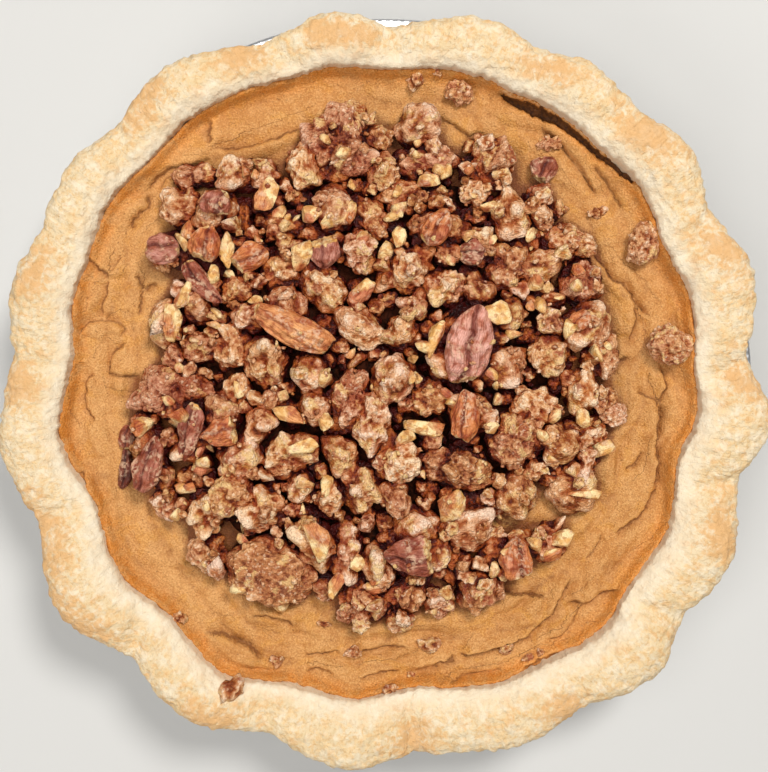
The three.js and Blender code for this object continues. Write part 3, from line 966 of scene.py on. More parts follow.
def flute(angle):
    """How far the rim's outer edge stands out from RIM_OUTER."""
    degrees = np.degrees(angle)
    turns = [place for row in FLUTES for place in row[0::2]]
    radii = [radius for row in FLUTES for radius in row[1::2]]
    reach = np.zeros(len(angle))
    for number, start in enumerate(turns):
        following = (number + 1) % len(turns)
        share = ((degrees - start) % 360) / ((turns[following] - start) % 360)
        edge = between(radii[number], radii[following], smoothstep(share, 0, 1))
        reach = np.where(share < 1, edge - RIM_OUTER, reach)
    return reach


def wall_push(height, angle):
    """How far the crust's inner wall leans out of round below the rim."""
    lean = -0.8 * np.cos(angle) + 1.5 * np.sin(angle) + 0.4 * flute(angle)
    lean -= np.interp(np.degrees(angle), *np.array(EDGE_DRAWN_IN).T, period=360)
    lean += 0.35 * smooth_noise(polar(14.0, angle, 0), 17)
    return smoothstep(height, TIN_DEPTH / 3, TIN_DEPTH) * lean


def pinch_valleys(angle, turn, draw):
    """Soft valleys that run over the rim where it was pinched, each at its own slant."""
    depth = np.zeros(len(angle))
    middle = (RIM_INNER + RIM_OUTER) / 2
    for _, crest_radius, pinch, pinch_radius in FLUTES:
        at = math.radians(pinch)
        fold = PINCH_DEPTH * (crest_radius - pinch_radius)
        slant = draw.uniform(-0.05, 0.05)
        width = draw.uniform(2.4, 4.2)
        off = (angle - at - slant * (turn - 0.8) + math.pi) % FULL_TURN - math.pi
        depth += fold * bell(off * middle, width)
    return depth * window(turn, -0.5, 0.4, 1.8, 2.9)


def crust_profile():
    """Radius, height and turn about the rim's middle, from the axis underneath to the axis on top."""
    middle = (RIM_INNER + RIM_OUTER) / 2
    half = (RIM_OUTER - RIM_INNER) / 2
    slack = PLEAT_DEPTH + GAP
    rows = [(0, PASTRY_UNDERSIDE, -1), (TIN_BASE_RADIUS - BASE_BEND - 1, PASTRY_UNDERSIDE, -1)]
    for height in np.linspace(4, TIN_DEPTH - 1, 5):
        rows.append((tin_radius(height) - slack, height, -1))
    rows += [(TIN_MOUTH_RADIUS - slack, RIM_SEAT, -1), (118, RIM_SEAT + 0.1, -1)]
    for turn in np.linspace(-math.pi / 4, math.pi, RIM_ROWS):
        rise = RIM_SHOULDER if turn > 0 else RIM_UNDERCUT
        fullness = RIM_FULLNESS if turn < math.pi / 2 else INNER_FULLNESS
        lift = math.copysign(abs(math.sin(turn)) ** fullness, turn)
        if turn > math.pi / 2:
            lift = between(INNER_LIFT, 1, lift)
        height = RIM_SEAT + RIM_UNDERCUT + rise * lift
        rows.append((middle + half * math.cos(turn), height, turn))
    for height in np.linspace(RIM_SEAT + RIM_UNDERCUT - 0.5, 31, 10):
        rows.append((tin_radius(height) - slack - PASTRY, height, math.pi))
    for height in (24, 14, PASTRY_FLOOR):
        rows.append((tin_radius(height) - slack - PASTRY, height, math.pi))
    rows += [(50, PASTRY_FLOOR, math.pi), (0, PASTRY_FLOOR, math.pi)]
    return np.array(rows)


def browned_places(radius, angle):
    """How golden the rim is, from the places that browned most."""
    total = np.zeros(len(angle))
    for degrees, share, reach in BROWNED:
        at = math.radians(degrees)
        spot_radius = between(RIM_INNER, RIM_OUTER, share)
        across = ((angle - at + math.pi) % FULL_TURN - math.pi) * spot_radius
        total = np.maximum(total, bell(across, reach) * bell(radius - spot_radius, 6))
    return total


def crust(finish):
    draw = np.random.default_rng(SEED + 1)
    profile = crust_profile()
    sheet, row, angle = ring_sheet(len(profile), RIM_STEPS)
    radius, height, turn = profile[row].T
    over_tin = smoothstep(height, 30, 33)
    on_rim = smoothstep(turn, -0.75, -0.2) * over_tin
    crest = np.clip(np.sin(turn), 0, 1) * on_rim
    outwards = np.clip((radius - RIM_INNER) / (RIM_OUTER - RIM_INNER), 0, 1)
    reach = flute(angle)
    rim_push = between(wall_push(TIN_DEPTH, angle), reach, outwards)
    push = np.where(radius > RIM_INNER - 0.01, rim_push, wall_push(height, angle))
    push = np.where(turn < -0.9, 0, push)
    jagged = 0.5 * smooth_noise(polar(40.0, angle, 0), 57) + 0.35 * smooth_noise(polar(95.0, angle, 0), 58)
    push += smoothstep(turn, 2.2, 3.0) * over_tin * (jagged - 0.3)
    base = polar(radius + push, angle, height + crest * RIM_LIFT * reach)
    lumps = layered_noise(base / 13, 2, 11)
    blisters = noises(base, (1, 4.5, 21), (0.5, 2.4, 23))
    swerve = 0.025 * smooth_noise(base / 9, 33)
    wrinkles = smooth_noise(polar(RIM_OUTER / 2.3, angle + swerve, turn * 1.3), 31)
    flakes = 1 - 2 * np.abs(smooth_noise(base / 3.2, 41))
    calm = 1 - 0.4 * smoothstep(turn, 1.8, 2.7)
    rise = PASTRY_LUMPS * lumps + calm * (BLISTERS * blisters + WRINKLES * wrinkles + FLAKES * flakes)
    rise = on_rim * (rise - pinch_valleys(angle, turn, draw))
    outer_half = on_rim * window(turn, -0.6, 0.2, 0.6, 1.3)
    rise += outer_half * noises(base, (0.5, 5.5, 51), (0.4, 2.2, 53))
    base += rise[:, None] * polar(np.cos(turn), angle, np.sin(turn))
    marks = {
        # Paler inner slope: partly pastry that browned less, partly painted light.
        "inner": smoothstep(turn + 0.25 * lumps, 1.75, 2.7),
        "browned": browned_places(radius, angle) * on_rim,
        # Low in the relief's hollows, where the finish paints shade.
        "raised": np.clip(0.5 + 0.45 * (blisters + 0.5 * flakes + 0.4 * wrinkles), 0, 1),
    }
    return piece_from_sheet("crust", sheet, base, marks, finish)


def filling_profile():
    """Radius and height of the filling from the middle of its top to the middle of its floor."""
    rows = [(r, FILLING_LEVEL) for r in np.linspace(0, 58, 12)]
    rows += [(r, FILLING_LEVEL) for r in np.linspace(59, FILLING_EDGE - 0.6, 86)]
    rows += [(FILLING_EDGE, FILLING_LEVEL - 0.3), (FILLING_EDGE - 0.3, 28)]
    slack = PLEAT_DEPTH + 2 * GAP + PASTRY
    rows += [(tin_radius(height) - slack, height) for height in (16, FILLING_FLOOR)]
    rows.append((0, FILLING_FLOOR))
    return np.array(rows)


def fold_field(radius, angle, along, apart, seed):
    """A noise drawn out round the pie: soft folds meet where it changes sign."""
    warp = 5 * smooth_noise(polar(3.0, angle, radius / 24), seed + 5)
    return smooth_noise(polar(95 / along, angle, (radius + warp) / apart), seed)


def nearest_on(chain, points):
    """How far points lie to the left of a chain of places, below zero on its right, and how far along."""
    places = np.array([as_seen(x, y, FILLING_LEVEL)[:2] for x, y in chain])
    steps = np.diff(places, axis=0)
    lengths = np.linalg.norm(steps, axis=1)
    starts = np.cumsum(lengths) - lengths
    nearest = np.full(len(points), np.inf)
    aside = np.zeros(len(points))
    along = np.zeros(len(points))
    for place, step, length, start in zip(places, steps, lengths, starts):
        offset = points - place
        share = np.clip(offset @ step / length**2, 0, 1)
        away = np.linalg.norm(offset - share[:, None] * step, axis=1)
        left = step[0] * offset[:, 1] - step[1] * offset[:, 0]
        closer = away < nearest
        nearest = np.where(closer, away, nearest)
        aside = np.where(closer, np.copysign(away, left), aside)
        along = np.where(closer, (start + share * length) / lengths.sum(), along)
    return aside, along


def creased(points):
    """The rise of the creases' banks, the place across the nearest crease and how strong it is there."""
    jagged = [noises(points, (1, 3, seed), (0.5, 1.3, seed)) for seed in (91, 93)]
    flat = points[:, :2] + 0.6 * np.column_stack(jagged)
    rise = np.zeros(len(points))
    across = np.full(len(points), FAR_FROM_CREASES)
    strength = np.zeros(len(points))
    for chain, half, lip in CREASES:
        aside, along = nearest_on(chain, flat)
        shown = window(along, 0, 0.12, 0.88, 1)
        bank = smoothstep(aside, -0.2, 0.9) * bell(np.clip(aside, 0, None), CREASE_REACH)
        dip = bell(np.clip(aside, None, 0), 2.5) * (1 - smoothstep(aside, -0.2, 0.6))
        cut = np.exp(-np.abs(aside) / 1.8)
        rise += shown * (BANK_RISE * lip * bank - BANK_DIP * lip * dip - CREASE_CUT * cut)
        nearer = np.abs(aside) / half < np.abs(across)
        across = np.where(nearer, aside / half, across)
        strength = np.where(nearer, shown * min(half / FULL_CREASE, 1), strength)
    return rise, across, strength


def near_groove(angle):
    return window(np.degrees(angle), 36, 44, 66, 74)


def shrunk_edge(radius, angle):
    """The groove where the filling has drawn away from the crust, and the strip outside it."""
    degrees = np.degrees(angle)
    places, widths, insides = np.array(GROOVE).T
    width = np.interp(degrees, places, widths)
    ragged = 0.5 * smooth_noise(polar(40.0, angle, 0), 75) + 0.4 * smooth_noise(polar(100.0, angle, 0), 76)
    line = FILLING_EDGE - np.interp(degrees, places, insides) + width * ragged
    across = (radius - line) / (width + 0.1)
    there = smoothstep(width, 0.05, 0.4)
    return there * smoothstep(np.abs(across), 1.5, 0.7), there * smoothstep(across, 1.0, 1.6)


def wrinkled_places(radius, angle):
    """How wrinkled the filling is: most at the front, then at the left and the right, in patches."""
    degrees = np.degrees(angle) % 360
    share = bell(degrees - 275, 55) + 0.8 * bell(degrees - 185, 35)
    share += 0.7 * bell((degrees + 180) % 360 - 180, 30) + 0.2
    patches = smooth_noise(polar(radius / 18, angle, radius / 20), 68)
    return np.clip(share * smoothstep(patches, -0.3, 0.3), 0, 1) * smoothstep(radius, 74, 84)


def filling(finish):
    profile = filling_profile()
    sheet, row, angle = ring_sheet(len(profile), FILLING_STEPS)
    radius, height = profile[row].T
    on_top = smoothstep(height, 28, 32)
    fold = fold_field(radius, angle, 48, 13, 61)
    wrinkle = fold_field(radius, angle, 26, 6.5, 64)
    wrinkled = wrinkled_places(radius, angle)
    push = wall_push(TIN_DEPTH, angle) * smoothstep(radius, 60, FILLING_EDGE)
    push = np.where(height < 20, 0, push)
    groove, strip = shrunk_edge(radius, angle)
    lip = smoothstep(radius, FILLING_EDGE - 7, FILLING_EDGE - 1)
    climb = smoothstep(radius, FILLING_EDGE - 3.5, FILLING_EDGE - 0.6) * (1 - 0.4 * near_groove(angle))
    swell = layered_noise(polar(radius / 26, angle, 0), 2, 69)
    ripples = smooth_noise(polar(radius / 6, angle, radius / 9), 77)
    crinkles = 1 - 2 * np.abs(fold_field(radius, angle, 16, 3.6, 78))
    uneven = 0.8 * noises(polar(radius, angle, 0), (0.5, 5, 87), (0.35, 1.9, 88))
    pillows = FOLDS * np.clip(np.abs(fold), 0, 0.5)
    pillows = pillows + FINE_FOLDS * np.clip(np.abs(wrinkle), 0, 0.4) * wrinkled
    rise = SWELL * swell + RIPPLES * ripples + (0.15 + 0.35 * wrinkled) * crinkles
    rise = rise + pillows - FOLD_SINK - GROOVE_DEPTH * groove
    rise += lip * (LIP_RISE + uneven) + climb * (CLIMB_RISE + uneven)
    points = polar(radius + push, angle, height)
    banks, across, strength = creased(points)
    points[:, 2] += (rise + banks) * on_top
    marks = {
        # Across and along the creases, for painted shade and highlight there.
        "crease": np.clip(across, -8, 8),
        "creased": strength * on_top,
        "edge": lip * on_top,
        # Painted shade in the groove.
        "groove": groove * on_top,
        "strip": strip * on_top,
        # Painted shade in the valleys of the folds.
        "valley": bell(fold, 0.07) + wrinkled * bell(wrinkle, 0.09),
    }
    return piece_from_sheet("sweet_potato_custard", sheet, points, marks, finish)


# Crumble


class Ground:
    """Heights of what has been laid so far, on a grid of one millimetre cells."""

    HALF = 132

    def __init__(self):
        self.heights = np.zeros((2 * self.HALF, 2 * self.HALF))

    def cells(self, points):
        cells = np.rint(points[:, :2]).astype(int) + self.HALF
        return tuple(np.clip(cells, 0, 2 * self.HALF - 1).T)

    def cover(self, points):
        np.maximum.at(self.heights, self.cells(points), points[:, 2])

    def lay(self, shape, place, clear):
        """A shape moved to a place and lowered until that share of its underside is clear of the ground."""
        points = shape[0] + place
        below = points[points[:, 2] < 0]
        drop = np.quantile(self.heights[self.cells(below)] - below[:, 2], clear)
        points = points + (0, 0, drop)
        self.cover(points)
        return (points, *shape[1:])

    def level(self):
        """The heights, each averaged with those about it."""
        level = self.heights.copy()
        for axis in (0, 1) * 3:
            level = (np.roll(level, 2, axis) + level + np.roll(level, -2, axis)) / 3
        return level


def turned(shape, degrees, tilt=0.0, roll=0.0):
    """A shape turned about X by roll, about Y by tilt and about Z by degrees."""
    points = shape[0]
    for axis, angle in ((0, roll), (1, tilt), (2, math.radians(degrees))):
        first, second = (axis + 1) % 3, (axis + 2) % 3
        cosine, sine = math.cos(angle), math.sin(angle)
        spun = points.copy()
        spun[:, first] = cosine * points[:, first] - sine * points[:, second]
        spun[:, second] = sine * points[:, first] + cosine * points[:, second]
        points = spun
    return (points, *shape[1:])


def tumbled(draw, shape, degrees, tilt, roll):
    """A shape turned about Z by degrees and tipped at random by up to tilt and roll."""
    return turned(shape, degrees, draw.uniform(-tilt, tilt), draw.uniform(-roll, roll))


def random_size(draw, length, widths, heights):
    """A length with a width and a height that are random shares of it."""
    return length, length * draw.uniform(*widths), length * draw.uniform(*heights)


def as_seen(x, y, height):
    """The place at that height that the camera sees where the plane of the crust's edge has (x, y)."""
    share = (CAMERA_HEIGHT - height) / (CAMERA_HEIGHT - EDGE_LEVEL)
    return np.array((x * share, CAMERA_NORTH + (y - CAMERA_NORTH) * share, 0))


def pressed(points, facing, limit):
    """Presses what stands beyond a plane most of the way back to it."""
    beyond = np.clip(points @ facing - limit, 0, None)
    return points - 0.9 * beyond[:, None] * facing


def any_turn(draw):
    """A random turn in space, as a matrix."""
    return np.linalg.qr(draw.normal(size=(3, 3)))[0]


def chopped_sides(draw, half):
    """The facings of a chopped bit's flat sides and how far they are from its middle."""
    box = np.vstack((np.eye(3), -np.eye(3))) + draw.normal(0, 0.22, (BOX_SIDES, 3))
    facings = unit(np.vstack((box, random_directions(draw, CORNER_CUTS))))
    ease = np.append(draw.uniform(0.75, 0.95, BOX_SIDES), draw.uniform(0.6, 0.8, CORNER_CUTS))
    return facings @ any_turn(draw), np.abs(facings) @ half * ease


def cluster_reach(direction, bits):
    """How far a cluster of bits reaches in each direction, and which bit's which side ends it there."""
    reach = np.zeros(len(direction))
    bit = np.zeros(len(direction), int)
    side = np.zeros(len(direction), int)
    for number, (middle, facings, distances) in enumerate(bits):
        toward = direction @ facings.T
        crossing = (distances + facings @ middle) / np.where(np.abs(toward) < 1e-6, 1e-6, toward)
        leaving = np.where(toward > 0, crossing, np.inf)
        entered = np.where(toward < 0, crossing, -np.inf).max(axis=1)
        left = leaving.min(axis=1)
        further = (left > entered) & (left > reach)
        reach = np.where(further, left, reach)
        bit = np.where(further, number, bit)
        side = np.where(further, leaving.argmin(axis=1), side)
    return reach, bit, side


def relaxed(values, faces, rounds):
    """Values at a mesh's points, each drawn toward the mean of its neighbours that many times."""
    following = np.roll(faces, 1, 1)
    near = np.concatenate((faces, faces[:, ::-1])).ravel()
    far = np.concatenate((following, following[:, ::-1])).ravel()
    neighbours = np.bincount(near, minlength=len(values))
    for _ in range(rounds):
        values = np.bincount(near, values[far], len(values)) / neighbours
    return values


def skinned_cluster(draw, half, ball, bits, core, hue, tint, crags=1.1):
    """One closed skin over a cluster of bits and a rounded core: its points, faces and marks."""
    shape, faces = BALLS[ball]
    direction = unit(shape * half)
    shift = random_shift(draw)
    reach, bit, side = cluster_reach(direction, bits)
    inside = core / np.linalg.norm(direction / half, axis=1) * (1 + 0.2 * smooth_noise(shape * 1.8 + shift))
    bare = inside > reach
    reach = relaxed(np.where(bare, inside, reach), faces, EASING[ball])
    points = direction * reach[:, None]
    crevices = np.abs(smooth_noise(points / 2.6 + shift))
    crevices = crevices + 0.75 * np.abs(smooth_noise(points / 1.3 - shift))
    reach = reach + crags * (0.36 - crevices)
    stands = reach - relaxed(reach, faces, 5)
    kind = draw.random(len(bits))[bit]
    cut = draw.random((len(bits), BOX_SIDES + CORNER_CUTS))[bit, side]
    chopped = (kind > 0.65) & ~bare
    tint = tint + draw.uniform(-0.14, 0.14, len(bits))[bit] + 0.1 * (cut - 0.5)
    # Painted light and shade: what stands out of the skin gets a lighter tint, and its crevices get the pit
    # mark.
    tint = tint + 0.5 * np.clip(stands, -1, 1)
    marks = {
        "tint": np.clip(tint - 0.12 * bare, 0, 1),
        "pit": np.clip(-1.3 * stands, 0, 0.6),
        # Painted shade where the piece lies low in the heap, set once the heap is laid.
        "deep": np.zeros(len(points)),
        "hue": np.clip(hue + draw.uniform(-0.25, 0.25, len(bits))[bit], 0, 1),
        "flesh": 0.8 * (chopped & (cut > 0.5)),
        "skin": 0.8 * (chopped & (cut < 0.2)),
    }
    return direction * reach[:, None], faces, marks


def coated_chunk(draw, size, hue, tint):
    """A chopped bit of nut in its sugar coat."""
    half = np.array(size) / 2
    bits = [(np.zeros(3), *chopped_sides(draw, half))]
    return skinned_cluster(draw, half, 3 if size[0] > FINE_CHUNK else 2, bits, 0.3, hue, tint)


def sugared_lump(draw, size, ball, hue, tint, cover=1.0, largest=0.65, smooth=False):
    """A lump of sugared bits of nut that stick together; cover says how thick they lie.

    No bit is longer than the share largest of the lump's width. A smooth lump has a flat top.
    """
    half = np.array(size) / 2
    area = math.pi * (size[0] * size[1] + size[1] * size[2] + size[0] * size[2]) / 3
    bits = []
    for direction in random_directions(draw, int(cover * area / CHUNK_COVER) + 3):
        length = min(draw.uniform(*BIT_LENGTHS), largest * size[1])
        bit_half = length / 2 * np.array((1, draw.uniform(0.55, 0.9), draw.uniform(0.5, 0.8)))
        middle = direction * np.clip(half - 0.8 * bit_half.mean(), 0.3 * half, None)
        bits.append((middle, *chopped_sides(draw, bit_half)))
    if not smooth:
        return skinned_cluster(draw, half, ball, bits, 0.8, hue, tint)
    points, faces, marks = skinned_cluster(draw, half, ball, bits, 1.0, hue, tint, 0.9)
    return pressed(points, np.array((0, 0, 1)), 0.7 * half[2]), faces, marks


def pecan_piece(draw, size, ball, hue, broken, cleft=0.24, taper=0.0):
    """A pecan or part of one: grooved skin on top, pale flesh where its ends are broken off."""
    shape, faces = BALLS[ball]
    half = np.array(size) / 2
    shift = random_shift(draw)
    along = shape[:, 0]
    uneven = 0.06 if taper else 0.15
    points = shape * half * (1 + uneven * smooth_noise(shape * 1.5 + shift))[:, None]
    points[:, 1:] *= (1 + (taper or draw.uniform(-0.3, 0.3)) * along - 0.15 * along**2)[:, None]
    points[:, 1] += draw.uniform(-0.12, 0.12) * half[0] * along**2
    waver = smooth_noise(np.column_stack((along * 1.8, shape[:, 1] * 0.5, along)) + shift)
    across = shape[:, 1] + 0.2 * waver + draw.uniform(-0.25, 0.25)
    top = smoothstep(shape[:, 2], -0.2, 0.4)
    middle = bell(across, 0.13)
    stretched = np.column_stack((along * half[0] / 6, across * half[1] / 1.7, shape[:, 2]))
    ridges = smooth_noise(stretched + shift) + 0.6 * smooth_noise(stretched * 2.2 + shift)
    wrinkles = smooth_noise(points / (2.4, 1.1, 1.1) - shift)
    points[:, 2] += top * half[2] * (0.22 * ridges + 0.12 * wrinkles - cleft * middle)
    points[:, 1] += half[1] * uneven * smooth_noise(points / 4 + shift)
    flesh = np.zeros(len(points))
    for sign, share in zip((1, -1), broken):
        if share:
            facing = unit(np.array((sign, draw.uniform(-0.4, 0.4), draw.uniform(0.1, 0.5))))
            limit = (1 - 1.6 * share) * (points @ facing).max() + 0.7 * smooth_noise(points / 2 + shift)
            flesh = np.maximum(flesh, smoothstep(points @ facing - limit, -0.1, 0.3))
            points = pressed(points, facing, limit)
    sugared = smooth_noise(points / 5 - shift) + 0.5 * smooth_noise(points / 2 - shift)
    marks = {
        "hue": np.clip(hue + 0.1 * smooth_noise(points / 4 + shift), 0, 1),
        # Painted shade in the cleft and between the ridges; deepened where the piece lies low in the heap.
        "groove": np.clip(4 * cleft * top * middle - 0.28 * ridges - 0.22 * wrinkles, 0, 1),
        "flesh": flesh,
        "along": points[:, 0] + shift[0],
        "across": across * half[1],
        "sugar": smoothstep(sugared, -0.1, 0.4),
    }
    return points, faces, marks


def chopped_solid(draw, corners, cuts):
    """Points and triangles of an angular solid, its faces cut finer and its edges eased."""
    sheet = bmesh.new()
    for direction in random_directions(draw, corners):
        sheet.verts.new(direction)
    bmesh.ops.convex_hull(sheet, input=sheet.verts)
    if cuts:
        bmesh.ops.subdivide_edges(sheet, edges=sheet.edges, cuts=cuts, use_grid_fill=True)
        axes = {"use_axis_x": True, "use_axis_y": True, "use_axis_z": True}
        bmesh.ops.smooth_vert(sheet, verts=sheet.verts, factor=0.5, **axes)
    bmesh.ops.triangulate(sheet, faces=sheet.faces)
    bmesh.ops.recalc_face_normals(sheet, faces=sheet.faces)
    points, faces = solid_of(sheet)
    return points - (points.max(axis=0) + points.min(axis=0)) / 2, faces


def nut_chunk(draw, size, solid, skin):
    """A chopped piece of nut: flat pale cuts, with golden skin on a share of its outside."""
    shape, faces = solid
    shift = random_shift(draw)
    points = shape * np.array(size) / 2 / np.abs(shape).max(axis=0)
    points = points * (1 + 0.08 * smooth_noise(points / 1.6 + shift))[:, None]
    facing = unit(draw.normal(size=3) * (1, 1, 0.6))
    covered = smoothstep(unit(shape) @ facing, 0.8 - 1.6 * skin, 1.0 - 1.6 * skin)
    marks = {
        "hue": np.full(len(points), draw.uniform(0.68, 0.95)),
        # Painted shade, set where the piece lies low in the heap.
        "groove": np.zeros(len(points)),
        "flesh": 1 - covered if skin else np.ones(len(points)),
        "along": points[:, 0] + shift[0],
        "across": points[:, 1],
        "sugar": smoothstep(smooth_noise(points / 3 + shift), 0.1, 0.5),
    }
    return points, faces, marks


def sugar_grains(draw, ground):
    """Small loose grains on the heap, each a rough ball."""
    shape, faces = BALLS[1]
    spots = [heap_spot(draw) for _ in range(GRAIN_COUNT)]
    shapes = []
    for spot, size in zip(spots, draw.uniform(*GRAIN_LENGTHS, GRAIN_COUNT)):
        rough = shape * draw.uniform(0.55, 1.35, (len(shape), 1)) * draw.uniform(0.6, 1.4, 3)
        grain = tumbled(draw, (rough * size / 2, faces), draw.uniform(0, 360), 1, 1)
        points, _ = ground.lay(grain, spot, SMALL_CLEAR)
        tint = draw.random()
        looks = {"tint": tint, "pit": 0, "deep": 0, "hue": draw.uniform(0, 0.8)}
        looks.update(flesh=tint > 0.8, skin=tint < 0.1)
        marks = {name: np.full(len(points), float(value)) for name, value in looks.items()}
        shapes.append((points, faces, marks))
    return shapes


def heap_reach(angle):
    """The heap's radius, which is a little longer one way."""
    lean = 2 * (angle - math.radians(HEAP_STRETCH_ANGLE))
    return HEAP_RADIUS * (1 + HEAP_STRETCH * np.cos(lean))


def crumble_core(finish):
    """The mound of fine crumble under the lumps; its finish is near-black painted shade for the gaps between
    them.
    """
    rows = np.concatenate((np.linspace(0, 1, CORE_ROWS), [1.0, 0.0]))
    sheet, row, angle = ring_sheet(len(rows), CORE_STEPS)
    share = rows[row]
    radius = CORE_SHARE * heap_reach(angle) * share
    ragged = 1 + 0.06 * smooth_noise(polar(4.0, angle, 0), 81)
    points = polar(radius * ragged, angle, 0)
    bumps = noises(points, (1.4, 7, 83), (1.1, 2.4, 85))
    mound = FILLING_LEVEL + CORE_RISE * np.clip(1 - share**2, 0, None)
    top = mound + (1 - share**6) * (1.2 + bumps)
    bottom = row >= len(rows) - 2
    points[:, 2] = np.where(bottom, FILLING_LEVEL - 1.5, top)
    points[:, :2] += HEAP_CENTRE
    return piece_from_sheet("crumble_core", sheet, points, {}, finish)


def seen_place(ground, x, y, height):
    """Where a piece of that height has to lie to be seen at (x, y)."""
    first = as_seen(x, y, FILLING_LEVEL + 6)
    level = ground.heights[ground.cells(first[None])][0]
    return as_seen(x, y, level + 0.6 * height)


def seen_lumps(draw, ground):
    """The lumps seen in the photograph, larger ones first, as (large, small) lists of shapes."""
    large, small = [], []
    for x, y, length, width, turn, shade in sorted(LUMPS, key=lambda lump: -lump[2] * lump[3]):
        is_large = length * width >= LARGE_LUMP
        smooth = shade == "smooth"
        height = SMOOTH_LUMP_HEIGHT if smooth else min(LUMP_HEIGHT * width, MOST_LUMP_HEIGHT)
        hue, tint, cover, largest = SHADES[shade]
        looks = hue, tint + draw.uniform(-0.22, 0.22), cover, largest, smooth
        shape = sugared_lump(draw, (length, width, height), 6 if is_large else 5, *looks)
        shape = tumbled(draw, shape, turn, 0.2, 0.2)
        shape = ground.lay(shape, seen_place(ground, x, y, height), LUMP_CLEAR)
        (large if is_large else small).append(shape)
    return large, small


def heap_spot(draw):
    """A random place in the heap, which ends where the pieces seen in it end."""
    while True:
        angle = draw.uniform(0, FULL_TURN)
        share = math.sqrt(draw.uniform(0, 0.92))
        radius = heap_reach(angle) * share
        spot = np.array((*HEAP_CENTRE, 0)) + (radius * math.cos(angle), radius * math.sin(angle), 0)
        beyond = np.linalg.norm(SEEN[:, :2] - spot[:2], axis=1) - SEEN[:, 2:].mean(axis=1) / 2
        if share < HEAP_INNER_SHARE or beyond.min() < 0.5:
            return spot


def lowest_spot(draw, ground, tries):
    """The lowest of some random places in the heap."""
    spots = np.array([heap_spot(draw) for _ in range(tries)])
    return spots[ground.heights[ground.cells(spots)].argmin()]


def roomiest_spot(draw, ground, tries):
    """Of some random places in the heap the one furthest from what is high there, and that distance."""
    high = np.argwhere(ground.heights > FILLER_LEVEL) - ground.HALF
    spots = np.array([heap_spot(draw) for _ in range(tries)])
    room = np.array([np.linalg.norm(high - spot[:2], axis=1).min() for spot in spots])
    return spots[room.argmax()], room.max()


def filler_lumps(draw, ground):
    """Lumps as large as the room left between the seen ones."""
    shapes = []
    for _ in range(FILLER_COUNT):
        spot, room = roomiest_spot(draw, ground, FILLER_TRIES)
        length = np.clip(FILLER_TO_ROOM * room, *FILLER_LENGTHS)
        size = random_size(draw, length, (0.65, 0.95), (0.55, 0.8))
        looks = draw.uniform(0.1, 0.7), draw.uniform(0.2, 0.7)
        if length > FILLER_LUMP:
            shape = sugared_lump(draw, size, 4, *looks)
        else:
            shape = coated_chunk(draw, size, *looks)
        shape = tumbled(draw, shape, draw.uniform(0, 360), 0.5, 0.5)
        shapes.append(ground.lay(shape, spot, SMALL_CLEAR))
    return shapes


def gap_crumbs(draw, ground):
    """Small bits in the gaps between the lumps, in darker tints and darkened further by painted shade."""
    shapes = []
    for _ in range(GAP_CRUMB_COUNT):
        size = random_size(draw, draw.uniform(*GAP_CRUMB_LENGTHS), (0.6, 0.9), (0.5, 0.8))
        shape = coated_chunk(draw, size, draw.uniform(0, 0.4), draw.uniform(0.1, 0.6))
        shapes.append(ground.lay(shape, lowest_spot(draw, ground, GAP_CRUMB_TRIES), STRAY_CLEAR))
    return shapes


def paint_filling_shadow(piece, ground):
    """Marks painted shadow on the filling, the more the further it lies below the heap about it."""
    points = points_of(piece)
    off_the_rim = 1 - smoothstep(np.hypot(*points[:, :2].T), 86, 93)
    depth = ground.level()[ground.cells(points)] - points[:, 2]
    covered = smoothstep(depth, 1.5, 4.5) * off_the_rim
    attribute = piece.data.attributes.new("covered", "FLOAT", "POINT")
    attribute.data.foreach_set("value", covered.astype(np.float32))


def paint_heap_shading(ground, shapes, mark_name, low, high):
    """Paints shade into a mark of the shapes' points as they lie from low to high millimetres below the
    heap, and light into their tints where they stand above it.
    """
    level = ground.level()
    for points, _, marks in shapes:
        depth = level[ground.cells(points)] - points[:, 2]
        marks[mark_name] = np.maximum(marks[mark_name], smoothstep(depth, low, high))
        # Painted light: tints rise where a piece stands above the heap about it.
        if "tint" in marks:
            marks["tint"] = marks["tint"] + 0.16 * smoothstep(-depth, -0.5, 3)


def seen_pecans(draw, ground):
    """The pecans seen in the photograph, whole or broken."""
    shapes = []
    for x, y, length, width, turn, skin, broken in PECANS:
        height = PECAN_HEIGHT * width
        whole = WHOLE_HALVES.get(skin, ())
        shape = pecan_piece(draw, (length, width, height), 5, SKIN_HUES[skin], broken, *whole)
        shape = tumbled(draw, shape, turn, 0.15, 0.25)
        shapes.append(ground.lay(shape, seen_place(ground, x, y, height), NUT_CLEAR))
    return shapes


def seen_nuts(draw, ground):
    """The pale pieces of nut seen in the photograph."""
    shapes = []
    for x, y, length, width, turn, skin in NUTS:
        height = NUT_HEIGHT * width
        shape = nut_chunk(draw, (length, width, height), chopped_solid(draw, 12, 4), skin)
        shape = tumbled(draw, shape, turn, 0.2, 0.3)
        shapes.append(ground.lay(shape, seen_place(ground, x, y, height), NUT_CLEAR))
    return shapes


def chopped_nuts(draw, ground):
    """Small chopped bits of nut strewn over the heap."""
    shapes = []
    solids = [chopped_solid(draw, 10, 1) for _ in range(CHOPPED_KINDS)]
    for _ in range(CHOPPED_NUT_COUNT):
        size = random_size(draw, draw.uniform(*CHOPPED_NUT_LENGTHS), (0.5, 0.9), (0.4, 0.8))
        solid = solids[draw.integers(CHOPPED_KINDS)]
        shape = nut_chunk(draw, size, solid, draw.choice((0, 0.2, 0.4, 0.8)))
        shape = tumbled(draw, shape, draw.uniform(0, 360), 0.7, 0.7)
        shapes.append(ground.lay(shape, lowest_spot(draw, ground, CHOPPED_NUT_TRIES), SMALL_CLEAR))
    return shapes


